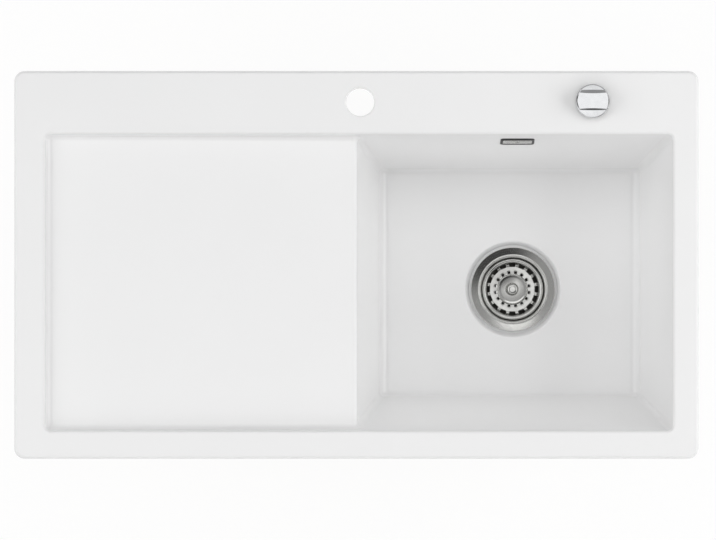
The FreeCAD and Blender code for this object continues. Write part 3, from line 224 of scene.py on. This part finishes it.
def turned(corners, middle, steps=128):
    """Mesh work of a closed outline of radius and height, turned about an upright axis."""
    work = bmesh.new()
    ring = [work.verts.new((point.x, 0, point.y)) for point in softened(corners)]
    bmesh.ops.spin(
        work,
        geom=ring + closed(work, ring),
        axis=(0, 0, 1),
        cent=(0, 0, 0),
        angle=2 * math.pi,
        steps=steps,
        use_merge=True,
    )
    bmesh.ops.remove_doubles(work, verts=work.verts, dist=merge_reach)
    bmesh.ops.translate(work, verts=work.verts, vec=middle)
    return work


def circle_edges(work, radius, middle, count):
    """The edges of a flat round loop."""
    turns = [2 * math.pi * step / count for step in range(count)]
    spots = [middle + radius * Vector((math.cos(t), math.sin(t), 0)) for t in turns]
    return closed(work, [work.verts.new(spot) for spot in spots])


def drawn_out(work, faces, reach):
    """Gives flat faces a thickness along a direction."""
    far = bmesh.ops.extrude_face_region(work, geom=faces, use_keep_orig=True)["geom"]
    bmesh.ops.translate(work, verts=[v for v in far if isinstance(v, bmesh.types.BMVert)], vec=reach)


# Polishing leaves the sheet bright, with a fine haze. Waste water dulls it inside the cup.
steel = patchy_metal("polished_steel", "#CFCFCC", "#C2C2C0", patch=0.006, detail=4, gloss=0.1, haze=0.24)
# The cup's floor is drawn near black as painted shade, for the deep floor seen through the basket's holes.
dull_painted_shade_steel = patchy_metal("dull_painted_shade_steel", "#4C4B48", "#373634", patch=0.005, detail=5, gloss=0.4, haze=0.6)
rubber = black_rubber()
waste = Vector((0.213, -0.033, -0.172))
sheet, flange_radius, neck_radius, cup_radius, cup_floor = 0.0012, 0.057, 0.043, 0.0378, -0.038
flange_top, neck_top, neck_foot = -0.001, -0.0052, -0.015
bead_crest, bead_half, bead_flank, bead_height, bead_foot = 0.046, 0.0006, 0.0008, -0.0029, -0.0034
flange_work = turned(
    [
        (flange_radius, flange_top, 0.0005),
        (bead_crest + bead_half + bead_flank, bead_foot, 0.0005),
        (bead_crest + bead_half, bead_height, 0.0005),
        (bead_crest - bead_half, bead_height, 0.0005),
        (neck_radius, neck_top, 0.0012),
        (neck_radius, neck_foot, 0.0006),
        (cup_radius, neck_foot, 0.0006),
        (cup_radius, cup_floor, 0),
        (cup_radius + sheet, cup_floor - sheet, 0.0008),
        (cup_radius + sheet, neck_foot - sheet, 0.0006),
        (neck_radius + sheet, neck_foot - sheet, 0.0006),
        (neck_radius + sheet, neck_top - sheet, 0.0012),
        (bead_crest, bead_height - sheet, 0.0005),
        (flange_radius, flange_top - sheet, 0.0005),
    ],
    waste,
)
hole_pitch, hole_radius, hole_count, screw_hole = 0.024, 0.008, 6, 0.00505
plate_steps, hole_steps = 96, 32
plate = bmesh.new()
plate_middle = waste + Vector((0, 0, cup_floor))
plate_rim = circle_edges(plate, cup_radius + sheet / 2, plate_middle, plate_steps)
plate_rim += circle_edges(plate, screw_hole, plate_middle, hole_steps)
for number in range(hole_count):
    turn = 2 * math.pi * number / hole_count
    reach = hole_pitch * Vector((math.cos(turn), math.sin(turn), 0))
    plate_rim += circle_edges(plate, hole_radius, plate_middle + reach, hole_steps)
bmesh.ops.triangle_fill(plate, edges=plate_rim, use_beauty=True)
drawn_out(plate, list(plate.faces), (0, 0, -sheet))
shown("waste_flange_pressed", flange_work, steel, "waste_flange")
shown("waste_cup_floor", plate, dull_painted_shade_steel, "waste_flange")
for node in ("flange_gasket", "pot_gasket"):
    dressed(node, rubber, edge=0.0003)


# Waste pot: moulded grey polypropylene, with webs under its flange and a thread at its outlet.
# One hollow brass screw draws it up to the waste flange.
def moulded_plastic(name, light, dark, roughness):
    """Moulded plastic, softly clouded. Its spark-eroded grain is drawn coarse enough to show."""
    made, tree, shader, place = surface(name)
    grain_size, cloud_size, grain_depth = 0.0008, 0.02, 0.00002
    cloud = add(tree, "TexNoise", {"Vector": place, "Scale": 1 / cloud_size}).outputs["Fac"]
    shade = add(tree, "Mix", {0: cloud, 6: linear(light), 7: linear(dark)}, data_type="RGBA").outputs[2]
    tree.links.new(shade, shader.inputs["Base Color"])
    shader.inputs["Roughness"].default_value = roughness
    grain = add(tree, "TexNoise", {"Vector": place, "Scale": 1 / grain_size, "Detail": 3}).outputs["Fac"]
    bump = add(tree, "Bump", {"Height": grain, "Distance": grain_depth, "Strength": 1})
    tree.links.new(bump.outputs["Normal"], shader.inputs["Normal"])
    return made


def web(work, turn, thickness):
    """Adds a three-cornered web between the pot's flange and its wall."""
    out, across = Vector((math.cos(turn), math.sin(turn), 0)), Vector((-math.sin(turn), math.cos(turn), 0))
    root, reach, top, foot = 0.0455, 0.0565, -0.0228, -0.0400
    near = waste - across * (thickness / 2)
    spots = [near + out * r + Vector((0, 0, z)) for r, z in ((root, top), (reach, top), (root, foot))]
    side = work.faces.new([work.verts.new(spot) for spot in spots])
    drawn_out(work, [side], across * thickness)


def joined(work, more):
    """Adds other mesh work to mesh work."""
    carrier = bpy.data.meshes.new("carrier")
    more.to_mesh(carrier)
    more.free()
    work.from_mesh(carrier)
    bpy.data.meshes.remove(carrier)


def thread(work, middle, radius, pitch, turns, height):
    """Adds a screw thread's ridge round an upright tube, from its lower end up."""
    steps_each_turn, root_share, flank_share = 48, 0.25, 0.38
    steps = steps_each_turn * turns
    root, flank = radius - height * root_share, pitch * flank_share
    ridge = bmesh.new()
    edge = [(root, -flank), (radius + height, 0), (root, flank)]
    line = [ridge.verts.new((out, 0, rise)) for out, rise in edge]
    bmesh.ops.spin(
        ridge,
        geom=line + [ridge.edges.new(pair) for pair in zip(line, line[1:])],
        axis=(0, 0, 1),
        cent=(0, 0, 0),
        dvec=(0, 0, pitch * turns / steps),
        angle=2 * math.pi * turns,
        steps=steps,
    )
    bmesh.ops.translate(ridge, verts=ridge.verts, vec=middle)
    joined(work, ridge)


grey_plastic = moulded_plastic("grey_plastic", "#A3A7AA", "#989CA0", roughness=0.42)
pot_work = softened_copy("waste_body", edge=0.0006)
web_count, web_thickness = 12, 0.0022
for number in range(web_count):
    web(pot_work, 2 * math.pi * (number + 0.5) / web_count, web_thickness)
outlet_foot, outlet_radius = waste + Vector((0, 0, -0.1285)), 0.0239
thread_pitch, thread_turns, thread_height = 0.00231, 8, 0.0007
thread(pot_work, outlet_foot, outlet_radius, thread_pitch, thread_turns, thread_height)
shown("waste_body_moulded", pot_work, grey_plastic, "waste_body")


# Clamp screw and lift pin: a turned brass screw, bored through, that holds the waste together.
# A zinc-plated steel pin slides in the bore and lifts the basket.
def zinc_plate():
    """Zinc plating with its small pale crystals."""
    made, tree, shader, place = surface("zinc_steel")
    crystal_size = 0.0025
    crystals = add(tree, "TexVoronoi", {"Vector": place, "Scale": 1 / crystal_size}).outputs["Color"]
    share = add(tree, "SeparateColor", {0: crystals}).outputs["Red"]
    shades = {0: share, 6: linear("#B4B8BC"), 7: linear("#A2A7AC")}
    shade = add(tree, "Mix", shades, data_type="RGBA").outputs[2]
    roughness = add(tree, "MapRange", {"Value": share, "To Min": 0.28, "To Max": 0.42}).outputs["Result"]
    shader.inputs["Metallic"].default_value = 1
    tree.links.new(shade, shader.inputs["Base Color"])
    tree.links.new(roughness, shader.inputs["Roughness"])
    return made


# Turned brass is bright where the tool left it, and a little dull where it has been handled.
brass = patchy_metal("brass", "#C9A255", "#A98542", patch=0.008, detail=4, gloss=0.22, haze=0.4)
zinc = zinc_plate()
dressed("clamp_screw", brass, edge=0.0003)
dressed("lift_pin", zinc, edge=0.0004)

# Strainer basket: pressed stainless sheet with a rolled rim, sixteen slots and a ring of small holes.
# A rubber seal lies under its rim, and a knob and a brass socket are riveted through its floor.
basket_outline = [
    (0.0410, -0.0123),
    (0.0408, -0.0117),
    (0.0400, -0.0114),
    (0.0388, -0.0115),
    (0.0377, -0.0121),
    (0.0370, -0.0134),
    (0.0367, -0.0175),
    (0.0362, -0.0220),
    (0.0354, -0.0252),
    (0.0341, -0.0270),
    (0.0326, -0.0277),
    (0.0310, -0.0279),
    (0.0290, -0.0280),
    (0.0266, -0.0281),
    (0.0245, -0.0282),
    (0.0230, -0.0283),
    (0.0215, -0.0284),
    (0.0206, -0.0282),
    (0.0195, -0.0272),
    (0.0184, -0.0280),
    (0.0150, -0.0284),
    (0.0090, -0.0290),
    (0.0034, -0.0292),
]
slot_span, hole_span = (0.0310, 0.0368), (0.0215, 0.0245)
slot_count, steps_each, slot_steps, strip_hole_steps = 16, 8, 5, 3
step_turn = 2 * math.pi / (slot_count * steps_each)
first_turn = -slot_steps / 2 * step_turn
basket_work = bmesh.new()
line = [
    basket_work.verts.new((radius * math.cos(first_turn), radius * math.sin(first_turn), height))
    for radius, height in basket_outline
]
bmesh.ops.spin(
    basket_work,
    geom=line + [basket_work.edges.new(pair) for pair in zip(line, line[1:])],
    axis=(0, 0, 1),
    cent=(0, 0, 0),
    angle=2 * math.pi,
    steps=slot_count * steps_each,
    use_merge=True,
)
bmesh.ops.remove_doubles(basket_work, verts=basket_work.verts, dist=merge_reach)


def open_in(face):
    """Whether a face of the sheet lies in a slot or in a hole."""
    middle = face.calc_center_median()
    step = (math.atan2(middle.y, middle.x) - first_turn) / step_turn % steps_each
    in_slot = slot_span[0] < middle.xy.length < slot_span[1] and step < slot_steps
    from_strip = abs(step - (slot_steps + steps_each) / 2)
    in_hole = hole_span[0] < middle.xy.length < hole_span[1] and from_strip < strip_hole_steps / 2
    return in_slot or in_hole


bmesh.ops.delete(basket_work, geom=[face for face in basket_work.faces if open_in(face)], context="FACES")
bmesh.ops.translate(basket_work, verts=basket_work.verts, vec=waste)
basket_sheet = 0.0009
basket = shown("strainer_basket_pressed", basket_work, steel, "strainer_basket")
thick = basket.modifiers.new("sheet", "SOLIDIFY")
thick.thickness = basket_sheet
thick.offset = -1
pressed = basket.modifiers.new("pressed", "SUBSURF")
pressed.levels = pressed.render_levels = 2
seal_inside, seal_shoulder, seal_lip, lip_height = 0.0384, 0.0409, 0.0427, 0.0007
seal_foot, seal_top = -0.0149, -0.0131
seal_work = turned(
    [
        (seal_inside, seal_foot, 0),
        (seal_lip, seal_foot, 0.0003),
        (seal_lip, seal_foot + lip_height, 0.0003),
        (seal_shoulder, seal_top, 0.0003),
        (seal_inside, seal_top, 0),
    ],
    waste,
)
shown("basket_seal_moulded", seal_work, rubber, "basket_seal")
rivet_radius, foot_radius, stem_radius, grip_radius, dome_radius = 0.0020, 0.0036, 0.0030, 0.0080, 0.0056
knob_foot, stem_height, grip_start, grip_end, knob_height = -0.0291, 0.0052, 0.0076, 0.0112, 0.0135
knob_steps = 64
knob_work = turned(
    [
        (0, knob_foot - sheet, 0),
        (rivet_radius, knob_foot - sheet, 0.0002),
        (rivet_radius, knob_foot, 0),
        (foot_radius, knob_foot, 0.0003),
        (stem_radius, knob_foot + stem_height, 0.0020),
        (grip_radius, knob_foot + grip_start, 0.0012),
        (grip_radius, knob_foot + grip_end, 0.0018),
        (dome_radius, knob_foot + knob_height, 0.0022),
        (0, knob_foot + knob_height, 0),
    ],
    waste,
    knob_steps,
)
shown("basket_knob_turned", knob_work, steel, "basket_knob")
dressed("basket_socket", brass, edge=0.0003)

# Crank: a plated steel shaft in a plastic bush in the pot's side, sealed by rubber and a gland nut.
# A lifting finger sits on it inside the pot, and a moulded plastic arm outside.
black_plastic = moulded_plastic("black_plastic", "#232425", "#1B1C1D", roughness=0.4)
for node in ("crank_shaft", "lift_finger"):
    dressed(node, zinc, edge=0.0003)
dressed("crank_arm", black_plastic, edge=0.0004)
dressed("shaft_bush", grey_plastic, edge=0.0004)


def rib(work, start, end, out, width, height):
    """Adds a half-round rib along a line, standing out of a surface, with lower ends."""
    along = (end - start).normalized()
    across = along.cross(out).normalized()
    arch_steps, end_share = 6, 0.6
    turns = [math.pi * step / arch_steps for step in range(arch_steps + 1)]
    places = (start, end_share), (start + along * height, 1), (end - along * height, 1), (end, end_share)
    arches = []
    for place, share in places:
        offsets = [across * (width / 2 * math.cos(t)) + out * (height * share * math.sin(t)) for t in turns]
        arches.append([work.verts.new(place + offset) for offset in offsets])
    chains = [[work.edges.new(pair) for pair in zip(arch, arch[1:])] for arch in arches]
    for chain, after in zip(chains, chains[1:]):
        bmesh.ops.bridge_loops(work, edges=chain + after)
    for arch in (arches[0], arches[-1]):
        work.faces.new(arch)


def ribbed_nut(node, middle, axis, radius, length, count):
    """A hand-tightened plastic nut with grip ribs round it."""
    rib_height, rib_sink, end_margin, rib_width = 0.0009, 0.0002, 0.0012, 2.2 * radius / count
    work = softened_copy(node, edge=0.0008)
    side = axis.orthogonal().normalized()
    for number in range(count):
        turn = 2 * math.pi * number / count
        out = side * math.cos(turn) + axis.cross(side) * math.sin(turn)
        foot = middle + out * (radius - rib_sink)
        reach = axis * (length / 2 - end_margin)
        rib(work, foot - reach, foot + reach, out, rib_width, rib_height)
    shown(node + "_ribbed", work, grey_plastic, node)


gland_middle, gland_radius, gland_length, gland_ribs = Vector((0.2684, -0.04642, -0.253)), 0.012, 0.0118, 16
ribbed_nut("gland_nut", gland_middle, Vector((1, 0, 0)), gland_radius, gland_length, gland_ribs)
dressed("shaft_seal", rubber, edge=0.0002)

# Cable bracket: bent zinc-plated plate, held under the gland nut.
# It carries the ferrule that ends the cable's sleeve, past which the wire's end runs on to the crank.
for node in ("cable_bracket", "cable_ferrule", "wire_end"):
    dressed(node, zinc, edge=0.0003)

# Control: a moulded plastic body with a brass spindle, clamped through the ledge by a washer and a nut.
# A rubber gasket seals it, and a slider and a screwed cap hold the cable.
dressed("control_gasket", rubber, edge=0.0002)
for node in ("control_body", "control_nut", "pull_slider", "control_cap"):
    dressed(node, black_plastic, edge=0.0004)
for node in ("control_washer", "cap_screws", "slider_wire", "knob_grub_screw"):
    dressed(node, zinc, edge=0.0002)
dressed("control_spindle", brass, edge=0.0003)

# Control knob: cast zinc, chrome-plated and buffed, which leaves the faintest haze of fine scratches.
# It is held on the control's spindle by a grub screw.
chrome = patchy_metal("chrome_plate", "#D9DADB", "#CDCED0", patch=0.009, detail=5, gloss=0.05, haze=0.13)
knob_middle = Vector((0.310, 0.215, 0))
disc_cut, disc_round, rim_turn = 0.0272, 0.0011, math.radians(50)
knob_base = merged("control_knob")
everything = knob_base.verts[:] + knob_base.edges[:] + knob_base.faces[:]
bmesh.ops.bisect_plane(
    knob_base, geom=everything, plane_co=(0, 0, disc_cut), plane_no=(0, 0, 1), clear_outer=True
)
rim = [edge for edge in knob_base.edges if edge.is_boundary]
bmesh.ops.triangle_fill(knob_base, edges=rim, use_beauty=True)
bmesh.ops.dissolve_limit(knob_base, angle_limit=flat_turn, verts=knob_base.verts, edges=knob_base.edges)
rounded_edges(knob_base, rim_turn, disc_round, segments=4)

# A shallow cone crowns the disc. The grip bar follows the disc's edge at its ends.
# The bar's flat top draws in at its waist, and its sides are chamfered, more gently at the rear.
crown_edge, crown_root, crown_top, crown_sink = 0.0209, 0.0070, 0.0277, 0.001
crown = turned(
    [
        (0, disc_cut - crown_sink, 0),
        (crown_edge, disc_cut - crown_sink, 0),
        (crown_edge, disc_cut, 0),
        (crown_root, crown_top, 0),
        (0, crown_top, 0),
    ],
    knob_middle,
)
joined(knob_base, crown)
bar_reach, bar_top, end_start, end_fall = 0.0213, 0.0364, 0.95, 0.0010
top_half, top_gain, base_gain = 0.0098, 0.0010, -0.0004
base_half, fall = {1: 0.0146, -1: 0.0122}, {1: 0.68, -1: 0.93}
chamfer_shares, top_shares = (1, 0.66, 0.33, 0), (0.75, 0.45, 0.15)
length_steps = 48
rows = []
for step in range(length_steps + 1):
    along_bar = math.sin(math.pi * (step / length_steps - 0.5))
    half_top = top_half + top_gain * along_bar ** 2
    end_round = end_fall * max(0, abs(along_bar) - end_start) / (1 - end_start)
    spots = []
    for side in (1, -1):
        half_base = base_half[side] + base_gain * along_bar ** 2
        drop = half_base - half_top
        flank = [(half_base, disc_cut)]
        for share in chamfer_shares:
            flank.append((half_top + drop * share, bar_top - fall[side] * drop * share))
        flank += [(half_top * share, bar_top) for share in top_shares]
        spots += [(side * y, z) for y, z in flank][::side]
    row = []
    for y, z in spots:
        x = along_bar * math.sqrt(bar_reach ** 2 - y ** 2)
        z -= end_round * (z - disc_cut) / (bar_top - disc_cut)
        row.append(knob_base.verts.new(knob_middle + Vector((x, y, z))))
    rows.append(row)
for row, after in zip(rows, rows[1:]):
    for corners in zip(row, row[1:], after[1:], after):
        knob_base.faces.new(corners)
for row in (rows[0], rows[-1]):
    knob_base.faces.new(row)
shown("control_knob_cast", knob_base, chrome, "control_knob")

# Cable: a steel wire in a black plastic sleeve, from the control's cap to the ferrule at the crank.
# It is held at both ends, and hangs in one soft bend between them.
cable_route = [
    (0.3100, 0.2150, -0.0580),
    (0.3100, 0.2150, -0.1080),
    (0.3040, 0.2110, -0.1650),
    (0.2960, 0.1990, -0.2160),
    (0.2900, 0.1580, -0.2500),
    (0.2865, 0.1050, -0.2635),
    (0.2855, 0.045584, -0.266416),
    (0.2855, -0.006416, -0.266416),
]


def cable_line(name, radius, finish, node):
    """A round line along the cable's route."""
    curve = bpy.data.curves.new(name, "CURVE")
    curve.dimensions = "3D"
    spline = curve.splines.new("NURBS")
    spline.points.add(len(cable_route) - 1)
    for point, spot in zip(spline.points, cable_route):
        point.co = (*spot, 1)
    spline.order_u = 3
    spline.use_endpoint_u = True
    spline.resolution_u = 24
    curve.bevel_depth = radius
    curve.bevel_resolution = 6
    curve.use_fill_caps = True
    curve.materials.append(finish)
    piece = bpy.data.objects.new(name, curve)
    bpy.context.scene.collection.objects.link(piece)
    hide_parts(node)
    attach(piece, "sink")
    return piece


sleeve_radius, wire_radius, cable_length = 0.003, 0.0009, 0.377
wire = cable_line("cable_wire_line", wire_radius, zinc, "cable_wire")
sleeve = cable_line("cable_sleeve_line", sleeve_radius, black_plastic, "cable_sleeve")

# Overflow: a pressed steel cover across an open plastic frame in the bowl's rear wall.
# There is a slot above and below the cover. Its screw draws it and a rubber gasket to a plastic elbow
# behind the wall.
overflow = Vector((0.213, 0.16346, -0.0215))
wall_run, wall_height = 0.0435, 0.190
lean = math.atan(wall_run / wall_height)
up_wall = Vector((0, math.sin(lean), math.cos(lean)))
out_wall = Vector((0, -math.cos(lean), math.sin(lean)))


def wall_loop(work, width, height, corner, rise):
    """A round-cornered rectangle drawn flat on the bowl's rear wall, some way up from the overflow."""
    corner_steps = 8
    loop = []
    for quarter, (x, y) in enumerate(((1, 1), (-1, 1), (-1, -1), (1, -1))):
        for step in range(corner_steps + 1):
            turn = math.pi / 2 * (quarter + step / corner_steps)
            across = x * (width / 2 - corner) + corner * math.cos(turn)
            up = y * (height / 2 - corner) + corner * math.sin(turn) + rise
            loop.append(work.verts.new(overflow + across * Vector((1, 0, 0)) + up * up_wall))
    return loop


def thickened(work, faces, low, high):
    """Gives flat faces on the wall a thickness between two levels."""
    bmesh.ops.translate(work, verts=list({v for face in faces for v in face.verts}), vec=low * out_wall)
    drawn_out(work, faces, (high - low) * out_wall)


throat, collar_size, frame_size = (0.033, 0.023, 0.0012), (0.036, 0.026, 0.0025), (0.045, 0.030, 0.005)
frame_top, collar_foot, frame_edge = 0.0007, -0.008, 0.0002
frame_work = bmesh.new()
for size, low, high in ((frame_size, 0, frame_top), (collar_size, collar_foot, 0)):
    loops = closed(frame_work, wall_loop(frame_work, *size, rise=0))
    loops += closed(frame_work, wall_loop(frame_work, *throat, rise=0))
    thickened(frame_work, bmesh.ops.bridge_loops(frame_work, edges=loops)["faces"], low, high)
rounded_edges(frame_work, rim_turn, frame_edge, segments=2)
# Its black is partly painted shade: the frame's rim draws the dark shadow gaps round the cover.
shown("overflow_frame", frame_work, black_plastic, "overflow_cover")
cover_size, cover_rise = (0.0385, 0.0155, 0.003), 0.0025
cover_foot, cover_top, cover_edge = 0.0006, 0.0020, 0.0003
cover_work = bmesh.new()
cover_face = cover_work.faces.new(wall_loop(cover_work, *cover_size, cover_rise))
thickened(cover_work, [cover_face], cover_foot, cover_top)
rounded_edges(cover_work, rim_turn, cover_edge, segments=3)
shown("overflow_cover_pressed", cover_work, steel, "overflow_cover")
shank_radius, shank_tip, screw_steps = 0.00245, -0.0336, 48
head_radius, head_edge, head_flat = 0.0038, 0.0036, 0.0020
edge_height, head_height = 0.0004, 0.0007
screw_work = turned(
    [
        (0, shank_tip, 0),
        (shank_radius, shank_tip, 0.0006),
        (shank_radius, cover_top, 0),
        (head_radius, cover_top, 0),
        (head_edge, cover_top + edge_height, 0.0003),
        (head_flat, cover_top + head_height, 0.0008),
        (0, cover_top + head_height, 0),
    ],
    (0, 0, 0),
    screw_steps,
)
onto_wall = Vector((0, 0, 1)).rotation_difference(out_wall).to_matrix()
bmesh.ops.rotate(screw_work, verts=screw_work.verts, cent=(0, 0, 0), matrix=onto_wall)
bmesh.ops.translate(screw_work, verts=screw_work.verts, vec=overflow)
shown("overflow_screw_turned", screw_work, steel, "overflow_screw")
dressed("overflow_gasket", rubber, edge=0.0003)
dressed("overflow_elbow", grey_plastic, edge=0.0008)

# Overflow pipe: a bent plastic tube from the elbow to the waste pot.
# A union nut tightened by hand holds it over a rubber seal at each end.
dressed("overflow_pipe", grey_plastic, edge=0.0005)
nut_radius, nut_length, nut_ribs = 0.020, 0.014, 24
upper_nut, lower_nut = Vector((0.213, 0.19165, -0.07155)), Vector((0.213, 0.037, -0.220))
ribbed_nut("upper_pipe_nut", upper_nut, up_wall, nut_radius, nut_length, nut_ribs)
ribbed_nut("lower_pipe_nut", lower_nut, Vector((0, 1, 0)), nut_radius, nut_length, nut_ribs)
for node in ("upper_pipe_seal", "lower_pipe_seal"):
    dressed(node, rubber, edge=0.0002)

# Floor: plain white studio paper, laid flat at the level of the object's lowest point.
# It keeps the object's soft shadow, and is no part of the object.
floor_reach = 20
floor_work = bmesh.new()
bmesh.ops.create_grid(floor_work, x_segments=1, y_segments=1, size=floor_reach)
bmesh.ops.translate(floor_work, verts=floor_work.verts, vec=(0, 0, cad_box[0].z))
floor_mesh = bpy.data.meshes.new("floor")
floor_work.to_mesh(floor_mesh)
floor_work.free()
floor = bpy.data.objects.new("floor", floor_mesh)
bpy.context.scene.collection.objects.link(floor)


def studio_white():
    """White paper that keeps part of the shadow, shows the rest as plain white and is clear from below."""
    made, tree, shader = surface("studio_white")[:3]
    glow_share, glow_strength = 0.88, 1.02
    shader.inputs["Base Color"].default_value = linear("#FAFAFA")
    shader.inputs["Roughness"].default_value = 1
    # Only the rays that show the paper, straight or by reflection, see it glow.
    rays = add(tree, "LightPath").outputs
    mirrored = {0: rays["Is Glossy Ray"], 1: rays["Is Transmission Ray"]}
    reflected = add(tree, "Math", mirrored, operation="MAXIMUM").outputs[0]
    seen = add(tree, "Math", {0: rays["Is Camera Ray"], 1: reflected}, operation="MAXIMUM").outputs[0]
    share = add(tree, "Math", {0: seen, 1: glow_share}, operation="MULTIPLY").outputs[0]
    glow = add(tree, "Emission", {"Strength": glow_strength}).outputs[0]
    paper = add(tree, "MixShader", {0: share, 1: shader.outputs[0], 2: glow}).outputs[0]
    below = add(tree, "NewGeometry").outputs["Backfacing"]
    clear = add(tree, "BsdfTransparent").outputs[0]
    sides = add(tree, "MixShader", {0: below, 1: paper, 2: clear})
    tree.links.new(sides.outputs[0], tree.nodes["Material Output"].inputs["Surface"])
    return made


floor_mesh.materials.append(studio_white())

# Studio light: a pale room, dark at floor level, with a bright ceiling panel and one dark corner.
# Four soft boxes round the sink light the bowl's walls.
world = bpy.data.worlds.new("studio")
bpy.context.scene.world = world
world.use_nodes = True
tree = world.node_tree
way = add(tree, "TexCoord").outputs["Generated"]

# Each part of the room has a direction, two limits on how squarely it is seen, 1 straight along it,
# and the brightness at each limit: the walls, then what the panel and the corner multiply it by.
room_parts = [
    ((0, 0, 1), 0.02, 0.4, 0.05, 0.42),
    ((0.06, -0.06, 1), 0.966, 0.9945, 1, 3.1),
    ((0.32, -0.46, 0.83), 0.839, 0.961, 1, 0.15),
]
level = 1
for direction, start, end, before, after in room_parts:
    toward = {0: way, 1: Vector(direction).normalized()}
    seen = add(tree, "VectorMath", toward, operation="DOT_PRODUCT").outputs["Value"]
    limits = {"Value": seen, "From Min": start, "From Max": end, "To Min": before, "To Max": after}
    part = add(tree, "MapRange", limits, interpolation_type="SMOOTHSTEP").outputs["Result"]
    level = add(tree, "Math", {0: level, 1: part}, operation="MULTIPLY").outputs[0]
room = add(tree, "Background", {"Color": linear("#FFFFFF"), "Strength": level})
tree.links.new(room.outputs[0], tree.nodes["World Output"].inputs["Surface"])
bpy.context.scene.view_settings.view_transform = "Standard"


def soft_box(name, place, width, height, brightness):
    """A wide soft lamp of an even brightness that faces the middle of the sink."""
    lamp = bpy.data.lights.new(name, "AREA")
    lamp.shape = "RECTANGLE"
    lamp.size, lamp.size_y = width, height
    lamp.energy = math.pi * width * height * brightness
    held = bpy.data.objects.new(name, lamp)
    held.location = place
    held.rotation_mode = "QUATERNION"
    held.rotation_quaternion = (-Vector(place)).to_track_quat("-Z", "Y")
    bpy.context.scene.collection.objects.link(held)


soft_box("front_box", (0.15, -2.2, 1.27), width=3.0, height=1.6, brightness=1.05)
soft_box("rear_box", (-0.1, 1.3, 2.3), width=2.6, height=0.9, brightness=1.1)
soft_box("right_box", (2.3, 0.0, 1.25), width=2.4, height=1.6, brightness=2.3)
soft_box("left_box", (-2.15, 0.0, 1.5), width=2.4, height=1.8, brightness=1.55)

# Camera: straight above the sink, a little forward of its middle and to the right.
# Its long lens keeps the bowl's walls narrow, as seen from far away.
camera_right, camera_forward, camera_height, sink_depth = 0.0021, 0.0067, 5.4, 0.32
rim_top = cad_box[0].z + sink_depth
camera = bpy.data.objects.new("camera", bpy.data.cameras.new("camera"))
camera.location = (camera_right, -camera_forward, rim_top + camera_height)
camera.data.sensor_width = 36
camera.data.lens = 206.6
bpy.context.scene.collection.objects.link(camera)
bpy.context.scene.camera = camera
